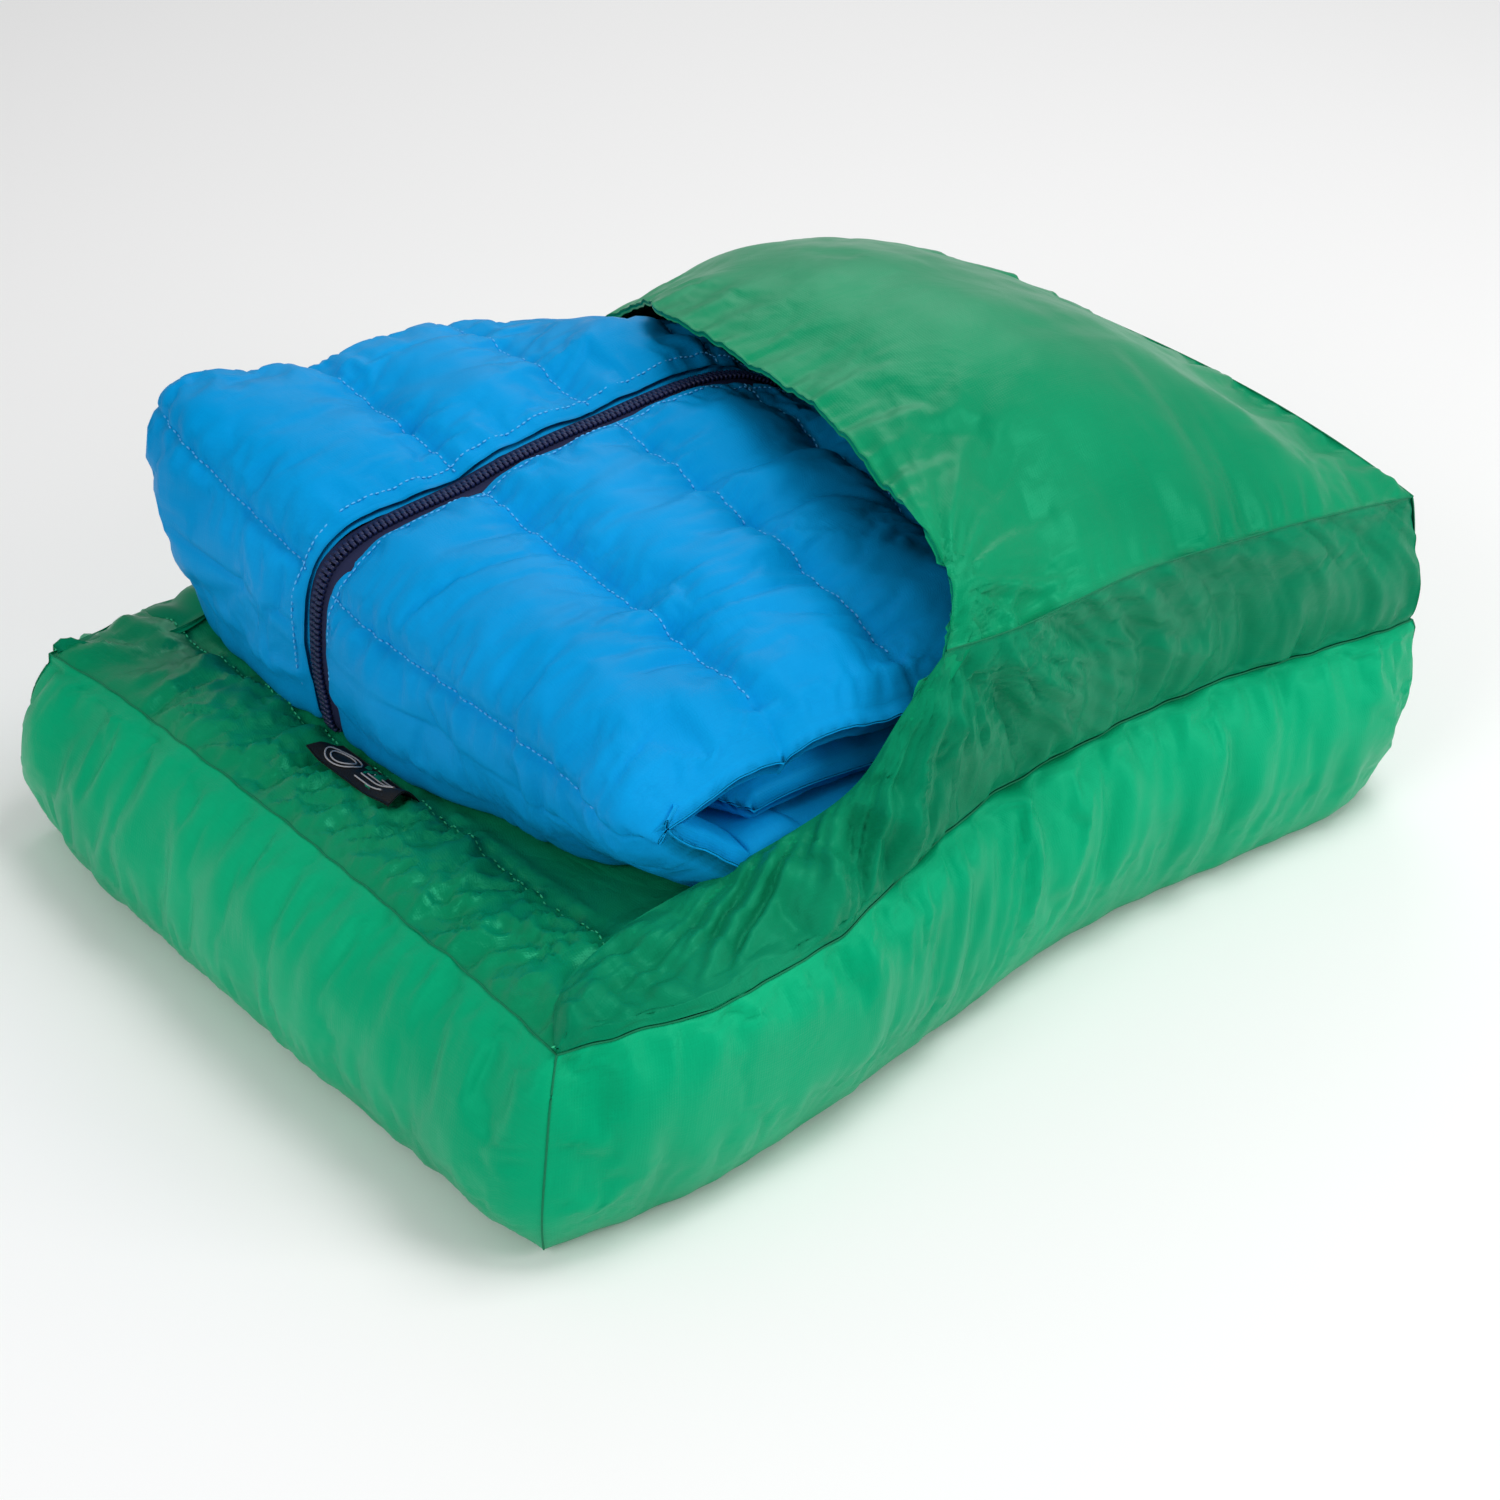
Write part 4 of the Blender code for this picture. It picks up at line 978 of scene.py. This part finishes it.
def sleeve_back_grid(nu=150, nv=32):
    """The sleeve's back wall."""
    x = np.linspace(-.236, .236, nu)
    foot, edge = wall_lines(x, PILLOW_SEAM_BACK, 55, TOP_SEAM_BACK, MOUTH_BACK_X, BACK_EDGE, BACK_FOOT_X)
    g, n, lift = lean_wall(foot[::-1], edge[::-1], nv, .002, 600)
    return g + n * lift[..., None]


def top_heights(x, b):
    """Height of the sleeve's top over the object, b from 0 at the front seam to 1 at the back one."""
    f = through(TOP_SEAM_FRONT, np.linspace(0, 1, 400))
    k = through(TOP_SEAM_BACK, np.linspace(0, 1, 400))
    zf, zb = np.interp(x, f[:, 0], f[:, 2]), np.interp(x, k[:, 0], k[:, 2])
    c = through([p[1] for p in CREST], x, [p[0] for p in CREST])
    return zf * (1 - b) + zb * b + c * (1 - np.abs(2 * b - 1) ** 2.6)


def sleeve_top_grid(nu=128, nv=176):
    """The sleeve's domed top: u from the mouth to the closed end, v from front to back."""
    m = by_length(MOUTH_EDGE, nv)
    a = np.linspace(0, 1, nu)[:, None]
    f, k = through(TOP_SEAM_FRONT, np.linspace(0, 1, 400)), through(TOP_SEAM_BACK, np.linspace(0, 1, 400))
    run = np.linspace(0, 1, nv)
    bm = np.clip((m[:, 1] + .180) / (.178 + .180), 0, 1)
    bm[0], bm[-1] = 0, 1
    b = bm[None] * (1 - ease(a * 1.4)) + run[None] * ease(a * 1.4)
    end_x = END_X - .0015 * (1 - np.abs(2 * run - 1) ** 2)
    x = m[:, 0][None] * (1 - a) + end_x[None] * a
    yf, yb = np.interp(x, f[:, 0], f[:, 1]), np.interp(x, k[:, 0], k[:, 1])
    y = yf * (1 - b) + yb * b
    z = top_heights(x, b)
    miss_y, miss_z = m[:, 1] - y[0], m[:, 2] - z[0]
    fade = np.exp(-((x - m[:, 0][None]) / .045) ** 2)
    y, z = y + miss_y[None] * fade, z + miss_z[None] * fade
    g = np.stack([x, y, z], -1)
    n = normals(g)
    u, v = lengths(g)
    # folds that run out from the pinch at the front of the mouth
    px, py = -.030, -.165
    dx, dy = x - px, y - py
    r = np.hypot(dx, dy)
    angle = np.arctan2(dy, dx)
    rays = noise(angle * 7.0 + .6 * noise(r / .05, angle, 71), r / .12, 72) * .0042
    rays = rays * np.exp(-r / .075) * np.clip(r / .012, 0, 1)
    rays = rays + noise(angle * 16.0, r / .05, 73) * .0016 * np.exp(-r / .05) * np.clip(r / .01, 0, 1)
    seams = (gathers(u, v, 700, .0030, 1.1) + gathers(u, v[:, -1:] - v, 720, .0026, 1.1)
             + gathers(v, u[-1:] - u, 740, .0026, 1.0))
    mouth = gathers(v, u, 760, .0014, 1.0)
    edge = np.clip(np.minimum(np.minimum(v, v[:, -1:] - v), u[-1:] - u) / .003, 0, 1)
    soft = .0014 * noise(u / .08, v / .06, 780) + .0005 * noise(u / .022, v / .03, 781)
    soft = soft - .0012 * crumple(u, v, .055, 790) * (.2 + np.exp(-r / .07))
    dent = -.0055 * bump(x, .205, .028) * bump(y, -.115, .045) + .003 * bump(x, .17, .02) * bump(y, -.12, .05)
    lift = (rays + seams + mouth + soft + dent) * edge
    held = np.maximum(1 - edge, .25 * np.exp(-u / .02))
    return puff_grid(g + n * lift[..., None], held, .2, .010, .0018)


def sleeve_end_grid(nu=150, nv=30):
    """The sleeve's wall at the closed end."""
    seam = wavy(through(PILLOW_SEAM_END, np.linspace(0, 1, 800)), 1, 65)
    y = np.linspace(-.1845, .1805, nu)
    foot = np.stack([np.interp(y, seam[:, 1], seam[:, 0]), y, np.interp(y, seam[:, 1], seam[:, 2]) + .0012], 1)
    run = np.linspace(0, 1, nu)
    upper = np.stack([END_X - .0015 * (1 - np.abs(2 * run - 1) ** 2), -.180 + .360 * run,
                      top_heights(np.full(nu, .234), run)], 1)
    g, n, lift = lean_wall(foot, upper, nv, .001, 800, .0026)
    return g + n * lift[..., None]


def hem_rows(lines, runs, width, inwards):
    """Seven points across the hem on each line of cloth, from its start inwards or from its end back."""
    rows = []
    for line, run in zip(lines, runs):
        at = np.linspace(0, width, 7) if inwards else run[-1] - np.linspace(0, min(width, run[-1] * .85), 7)
        rows.append(np.stack([np.interp(at, run, line[:, k]) for k in range(3)], 1))
    return np.array(rows)


# ---------------------------------------------------------------- settings
class PillowFinish(bpy.types.PropertyGroup):
    """Colours of the cloth, thread and zip."""

    def colour(label, text, value):
        return bpy.props.FloatVectorProperty(name=label, description=text, default=value, subtype="COLOR",
                                             size=3, min=0, max=1)

    # these two are lit and shaded copies of one green cloth: the walls' brighter green is painted light, the top's
    # darker green is painted shade
    lit_shell_green: colour("Pillow green", "Shell cloth of the pillow's walls", (.0, .37, .165))
    shaded_top_green: colour("Pillow top green", "Glossy cloth on the pillow's top", (.0, .24, .100))
    sleeve_green: colour("Sleeve green", "Cloth of the sleeve's top", (.0, .255, .108))
    gusset_green: colour("Gusset green", "Single cloth of the sleeve's walls", (.0, .208, .094))
    quilt_blue: colour("Quilt blue", "Shell cloth of the quilt", (.0, .285, .66))
    zip_navy: colour("Zip navy", "Tape and teeth of the zip", (.012, .016, .056))


class PillowSizes(bpy.types.PropertyGroup):
    """Sizes of the sewing."""

    def distance(label, text, value):
        return bpy.props.FloatProperty(name=label, description=text, default=value, subtype="DISTANCE",
                                       unit="LENGTH")

    stitch_pitch: distance("Stitch pitch", "Distance from one stitch to the next", .0030)
    stitch_length: distance("Stitch length", "Length of one stitch on the cloth", .0023)
    thread_width: distance("Thread width", "Width of the sewing thread", .0009)
    tooth_pitch: distance("Tooth pitch", "Distance between the teeth of one side of the zip", .0026)
    hem_width: distance("Hem width", "Width of the folded hem round the sleeve's mouth", .013)


def stitches(name, lines, finish):
    s = bpy.context.scene.pillow_sizes
    return row(name, lines, stitch_tree(), finish, Pitch=s.stitch_pitch, Length=s.stitch_length,
               Width=s.thread_width, Height=s.thread_width * .8)


# ---------------------------------------------------------------- operators
class MakePillow(bpy.types.Operator):
    """Makes the down-filled pillow with its top seam, sewn lines and inner walls"""
    bl_idname = "pillow.make_pillow"
    bl_label = "Make pillow"

    def execute(self, context):
        body, top, seams = pillow_body()
        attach(body, "pillow")
        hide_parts("pillow_bottom_panel", "pillow_top_panel", "pillow_front_wall", "pillow_back_wall",
                    "pillow_mouth_end_wall", "pillow_closed_end_wall", *[f"pillow_down_{i}" for i in range(1, 6)])
        lines = []
        for x in PILLOW_LINES:
            i = np.argmin(np.abs(top[:, top.shape[1] // 2, 0] - x))
            lines.append(top[i, 5:-5] + np.array([0, 0, .0004]))
        rows = stitches("pillow_stitches", lines, "green_thread")
        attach(rows, "pillow")
        # thin raised cords along every seam; their dark green is painted shadow of the seam creases
        raised = [line + np.array([0, 0, .0002]) for line in seams]
        seam_shadow_cord = tube("pillow_seam_shadow_lines", raised, .00045, use("seam_shadow_green"))
        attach(seam_shadow_cord, "pillow")
        for k in range(1, 5):
            lo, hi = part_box(f"pillow_baffle_{k}")
            x = (lo[0] + hi[0]) / 2
            y, z = np.meshgrid(np.linspace(-.150, .150, 60), np.linspace(.008, .080, 16), indexing="ij")
            g = np.stack([x + .002 * noise(y / .03, z / .03, 900 + k), y, z], -1)
            wall = cloth_sheet(f"pillow_baffle_wall_{k}", g, use("baffle_cloth"))
            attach(wall, "pillow")
            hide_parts(f"pillow_baffle_{k}")
        return {"FINISHED"}


class MakeSleeve(bpy.types.Operator):
    """Makes the sleeve: domed top, gathered walls, closed end and the hem round its mouth"""
    bl_idname = "pillow.make_sleeve"
    bl_label = "Make sleeve"

    def execute(self, context):
        front, back, top, end = sleeve_front_grid(), sleeve_back_grid(), sleeve_top_grid(), sleeve_end_grid()
        pieces = [("sleeve_front", front, "gusset_shell", "sleeve_front_wall", (.095, .480), .0375),
                  ("sleeve_back", back, "gusset_shell", "sleeve_back_wall", (.075, .480), .023),
                  ("sleeve_top", top, "sleeve_shell", "sleeve_top_panel", (.290, .420), .0925),
                  ("sleeve_end", end, "gusset_shell", "sleeve_end_wall", (.082, .370), .0273)]
        for name, grid, finish, cad, flat, area in pieces:
            obj = cloth_sheet(name, grid, use(finish))
            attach(obj, "pillow")
            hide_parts(cad)
            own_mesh(obj)
        # thin raised cords along the top's seams; their dark green is painted shadow of the seam creases
        lines = [top[:, 0], top[:, -1], top[-1]]
        seam_shadow_cord = tube("sleeve_seam_shadow_lines", lines, .0004, use("seam_shadow_green"))
        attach(seam_shadow_cord, "pillow")
        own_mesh(seam_shadow_cord)
        width = context.scene.pillow_sizes.hem_width
        loose_front, loose_back = front[front[:, -1, 0] < -.041], back[back[:, -1, 0] < .021]
        hem = np.concatenate([hem_rows(loose_front, lengths(loose_front)[1], width, False),
                              hem_rows(top.transpose(1, 0, 2), lengths(top)[0].T, width, True),
                              hem_rows(loose_back, lengths(loose_back)[1], width, False)])
        n = normals(hem)
        outer, inner = hem + n * .0024, hem + n * .0004        # a folded strip just outside the cloth
        obj = slab("sleeve_hem", outer[:, ::-1], inner[:, ::-1], use("sleeve_shell"))
        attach(obj, "pillow")
        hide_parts("mouth_hem")
        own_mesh(obj)
        line = stitches("hem_stitches", [outer[:, -2]], "green_thread")
        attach(line, "pillow")
        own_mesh(line)
        return {"FINISHED"}


class MakeQuilt(bpy.types.Operator):
    """Makes the quilt: two puffed outer layers either side of the zip and the folds under them"""
    bl_idname = "pillow.make_quilt"
    bl_label = "Make quilt"

    def execute(self, context):
        front, ftop, starts = quilt_layer("quilt_front_layer", -.1575, ZIP_Y - ZIP_HALF + .0018, True, 106)
        back, btop, _ = quilt_layer("quilt_back_layer", ZIP_Y + ZIP_HALF + .0008, .1655, False, 66)
        for obj, part in ((front, "front"), (back, "back")):
            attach(obj, "quilt")
            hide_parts(*[f"quilt_{part}_channel_{i}" for i in range(1, 7)])

        grid, _, st = quilt_face(60, -.157, .165)
        cols = grid[:, :, 1][0]

        def outer_z(x, y):
            z = np.empty_like(x)
            for j in range(x.shape[1]):
                c = np.argmin(np.abs(cols - y[0, j]))
                line = grid[st[4]:, c]
                z[:, j] = np.interp(x[:, j], line[:, 0], line[:, 2])
            return z - LAYER - .0035

        def split(x, y):
            top = outer_z(x, y)
            return .0900 + (top - .0900) * .56

        ys = (-.16, -.13, -.10, -.05, 0, .045, .10, .14, .17)
        low_x = [-.124, -.098, -.112, -.126, -.142, -.143, -.140, -.136, -.13]
        mid_x = [-.110, -.128, -.138, -.146, -.150, -.150, -.150, -.152, -.148]
        low = fold_pad("quilt_bottom_fold", (ys, low_x), .184, -.156, .158,
                       lambda x, y: np.full_like(x, PILLOW_TOP_Z), lambda x, y: split(x, y) - .0006, 440, .014, True)
        mid = fold_pad("quilt_middle_fold", (ys, mid_x), .182, -.150, .155, lambda x, y: split(x, y) + .0006,
                       outer_z, 450, .011, False)
        for obj, part in ((low, "bottom"), (mid, "middle")):
            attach(obj, "quilt")
            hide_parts(*[f"quilt_{part}_channel_{i}" for i in range(1, 6)])
        lines = []
        for k in QUILT_LINES:
            for g in (ftop, btop):
                i = starts[k]
                part = slice(12, -2) if g is ftop else slice(2, -7)
                lines.append(g[i, part] + normals(g)[i, part] * .0004)
        round_nose = slice(starts[2], starts[9])
        for g, j in ((ftop, -4), (btop, 3)):
            lines.append(g[round_nose, j] + normals(g)[round_nose, j] * .0004)
        rows = stitches("quilt_stitches", lines, "blue_thread")
        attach(rows, "quilt")
        return {"FINISHED"}


def zip_path(count=400):
    """The middle of the zip over the quilt, evenly spaced, with its outward normal."""
    grid, crown, starts = quilt_face(3, ZIP_Y - .001, ZIP_Y + .001)
    line = grid[starts[1]:, 1]
    n = normals(grid)[starts[1]:, 1]
    if n[-1, 2] < 0:
        n = -n
    level = ease((line[:, 0] - .075) / .02)
    lift = crown[starts[1]:] * .10 * (1 - level)
    line = line + n * (lift - .0026 - (ZIP_DEPTH - .0026) * level)[:, None]
    line[:, 2] = np.maximum(line[:, 2], .0925)
    run = np.concatenate([[0], np.cumsum(np.linalg.norm(np.diff(line, axis=0), axis=1))])
    at = np.linspace(0, run[-1], count)
    p = np.stack([np.interp(at, run, line[:, k]) for k in range(3)], 1)
    m = np.stack([np.interp(at, run, n[:, k]) for k in range(3)], 1)
    p[:, 1] = ZIP_Y
    m[:, 1] = 0
    return p, m / np.linalg.norm(m, axis=1, keepdims=True), run[-1]


class MakeZip(bpy.types.Operator):
    """Makes the zip that runs over the quilt: tapes, teeth, end stops, slider and pull"""
    bl_idname = "pillow.make_zip"
    bl_label = "Make zip"

    def execute(self, context):
        p, n, length = zip_path()
        side = np.array([0, 1, 0])
        for name, sign in (("front", -1), ("back", 1)):
            across = np.linspace(.0009, .0118, 8)
            sag = (.0004 + .50 * np.maximum(across - .0058, 0))[None, :, None]
            g = p[:, None] + side * sign * across[None, :, None] - n[:, None] * sag
            if sign < 0:
                g = g[:, ::-1]
            tape = slab(f"zip_tape_{name}_woven", g, g - n[:, None] * .0008, use("zip_tape"))
            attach(tape, "quilt")
            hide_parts(f"zip_tape_{name}")
        pitch = context.scene.pillow_sizes.tooth_pitch
        tree = row_tree("Zip teeth row", "tooth", "Y")
        for name, sign, start in (("front", -1, 0), ("back", 1, 2)):
            line = p[start:] + side * sign * .0013 + n[start:] * .0008
            teeth = row(f"zip_teeth_{name}_row", [line], tree, "zip_teeth", Pitch=pitch, Length=pitch * .56,
                        Width=.0034, Height=.0018)
            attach(teeth, "quilt")
            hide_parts(f"zip_teeth_{name}")
        for cad in ("zip_slider", "zip_pull", "zip_end_stop_front", "zip_end_stop_back"):
            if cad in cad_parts:
                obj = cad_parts[cad]
                for place in obj.material_slots:
                    place.material = use("zip_metal")
        return {"FINISHED"}


class MakeLabel(bpy.types.Operator):
    """Makes the small woven label sewn to the pillow's first line"""
    bl_idname = "pillow.make_label"
    bl_label = "Make label"

    def execute(self, context):
        ny, nx = 60, 24
        y = np.linspace(.033, -.025, ny)[:, None]
        w = np.linspace(0, .0175, nx)[None]
        curl = ease((-.005 - y) / .022)
        x = -.184 - w + .0015 * curl * np.sin(w / .02 * 3.0)
        z = (.0905 + .0050 * ease(w / .012) + curl * .006 * np.sin(w / .02 * np.pi)
             + .003 * ease((y - .024) / .01) * w / .02)
        g = np.stack([x, np.broadcast_to(y, x.shape), z], -1)
        if normals(g)[ny // 2, nx // 2, 2] < 0:
            g = g[::-1]
        label = slab("label_woven", g + np.array([0, 0, .0008]), g, use("label_black"))
        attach(label, "pillow")
        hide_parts("sewn_label")
        face = g + np.array([0, 0, .0012])

        def on_label(a, b):
            """A point of the label's face, a along its length and b across it, both from 0 to 1."""
            i, j = (1 - a) * (ny - 1), b * (nx - 1)
            i0, j0 = np.clip(np.floor(i).astype(int), 0, ny - 2), np.clip(np.floor(j).astype(int), 0, nx - 2)
            fi, fj = (i - i0)[:, None], (j - j0)[:, None]
            return ((face[i0, j0] * (1 - fi) + face[i0 + 1, j0] * fi) * (1 - fj)
                    + (face[i0, j0 + 1] * (1 - fi) + face[i0 + 1, j0 + 1] * fi) * fj)

        lines = []
        turn = np.linspace(0, 2 * np.pi, 40)
        for size in (.16, .11):
            lines.append(on_label(.24 + size * np.cos(turn), .5 + 2.3 * size * np.sin(turn)))
        for k in range(4):
            b = .22 + .18 * k
            reach = np.linspace(.50, .88 - .06 * (k % 2), 24)
            lines.append(on_label(reach, np.full(24, b)))
        marks = tube("label_marks", lines, .0004, use("label_grey"), 4)
        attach(marks, "pillow")
        return {"FINISHED"}


class MakeStage(bpy.types.Operator):
    """Makes the pale floor, the soft lights and the camera"""
    bl_idname = "pillow.make_stage"
    bl_label = "Make stage"

    def execute(self, context):
        scene = context.scene
        size = 6.0
        corners = np.array([(-size, -size, 0), (size, -size, 0), (size, size, 0), (-size, size, 0)], float)
        floor = build("floor", corners, np.array([[0, 1, 2, 3]]), None, None, False)
        mat = bpy.data.materials.new("floor_paper")
        mat.use_nodes = True
        paper = mat.node_tree.nodes["Principled BSDF"].inputs
        paper["Base Color"].default_value = (.94, .94, .94, 1)
        paper["Roughness"].default_value = .9
        floor.data.materials.append(mat)
        world = bpy.data.worlds.new("studio")
        world.use_nodes = True
        sky = world.node_tree.nodes["Background"].inputs
        sky["Color"].default_value = (1, 1, 1, 1)
        sky["Strength"].default_value = .44
        scene.world = world
        for name, place, size, power in (
                ("top_softbox", (.45, -.45, 1.70), .8, 12.5),
                ("left_softbox", (-1.7, -.45, 1.15), .9, 10),
                ("right_softbox", (.9, -1.7, .95), .9, 12),
                ("back_softbox", (1.15, 1.15, 1.25), .9, 4)):
            data = bpy.data.lights.new(name, "AREA")
            data.shape = "SQUARE"
            data.size = size
            data.energy = power
            lamp = bpy.data.objects.new(name, data)
            lamp.location = place
            lamp.rotation_euler = (Vector((0, 0, .1)) - Vector(place)).to_track_quat("-Z", "Y").to_euler()
            context.collection.objects.link(lamp)
        cam = bpy.data.cameras.new("camera")
        cam.lens, cam.sensor_width = 72, 36
        eye = bpy.data.objects.new("camera", cam)
        eye.location = (-.732, -.873, .766)
        eye.rotation_euler = (math.radians(90 - 32.93), 0, math.radians(-40.34))
        context.collection.objects.link(eye)
        scene.camera = eye
        scene.view_settings.view_transform = "Standard"
        return {"FINISHED"}


class PillowPanel(bpy.types.Panel):
    bl_idname = "VIEW3D_PT_pillow"
    bl_label = "Pillow"
    bl_space_type = "VIEW_3D"
    bl_region_type = "UI"
    bl_category = "Pillow"

    def draw(self, context):
        for group in (context.scene.pillow_finish, context.scene.pillow_sizes):
            for key in group.bl_rna.properties.keys():
                if key not in ("rna_type", "name"):
                    self.layout.prop(group, key)
        for op in OPERATORS:
            self.layout.operator(op.bl_idname)


OPERATORS = (MakePillow, MakeSleeve, MakeQuilt, MakeZip, MakeLabel, MakeStage)
CLASSES = (PillowFinish, PillowSizes, *OPERATORS, PillowPanel)


def register():
    for cls in CLASSES:
        bpy.utils.register_class(cls)
    bpy.types.Scene.pillow_finish = bpy.props.PointerProperty(type=PillowFinish)
    bpy.types.Scene.pillow_sizes = bpy.props.PointerProperty(type=PillowSizes)


def unregister():
    del bpy.types.Scene.pillow_finish, bpy.types.Scene.pillow_sizes
    for cls in reversed(CLASSES):
        bpy.utils.unregister_class(cls)


def main():
    register()
    for op in OPERATORS:
        getattr(bpy.ops.pillow, op.bl_idname.split(".")[1])()


if __name__ == "__main__":
    main()
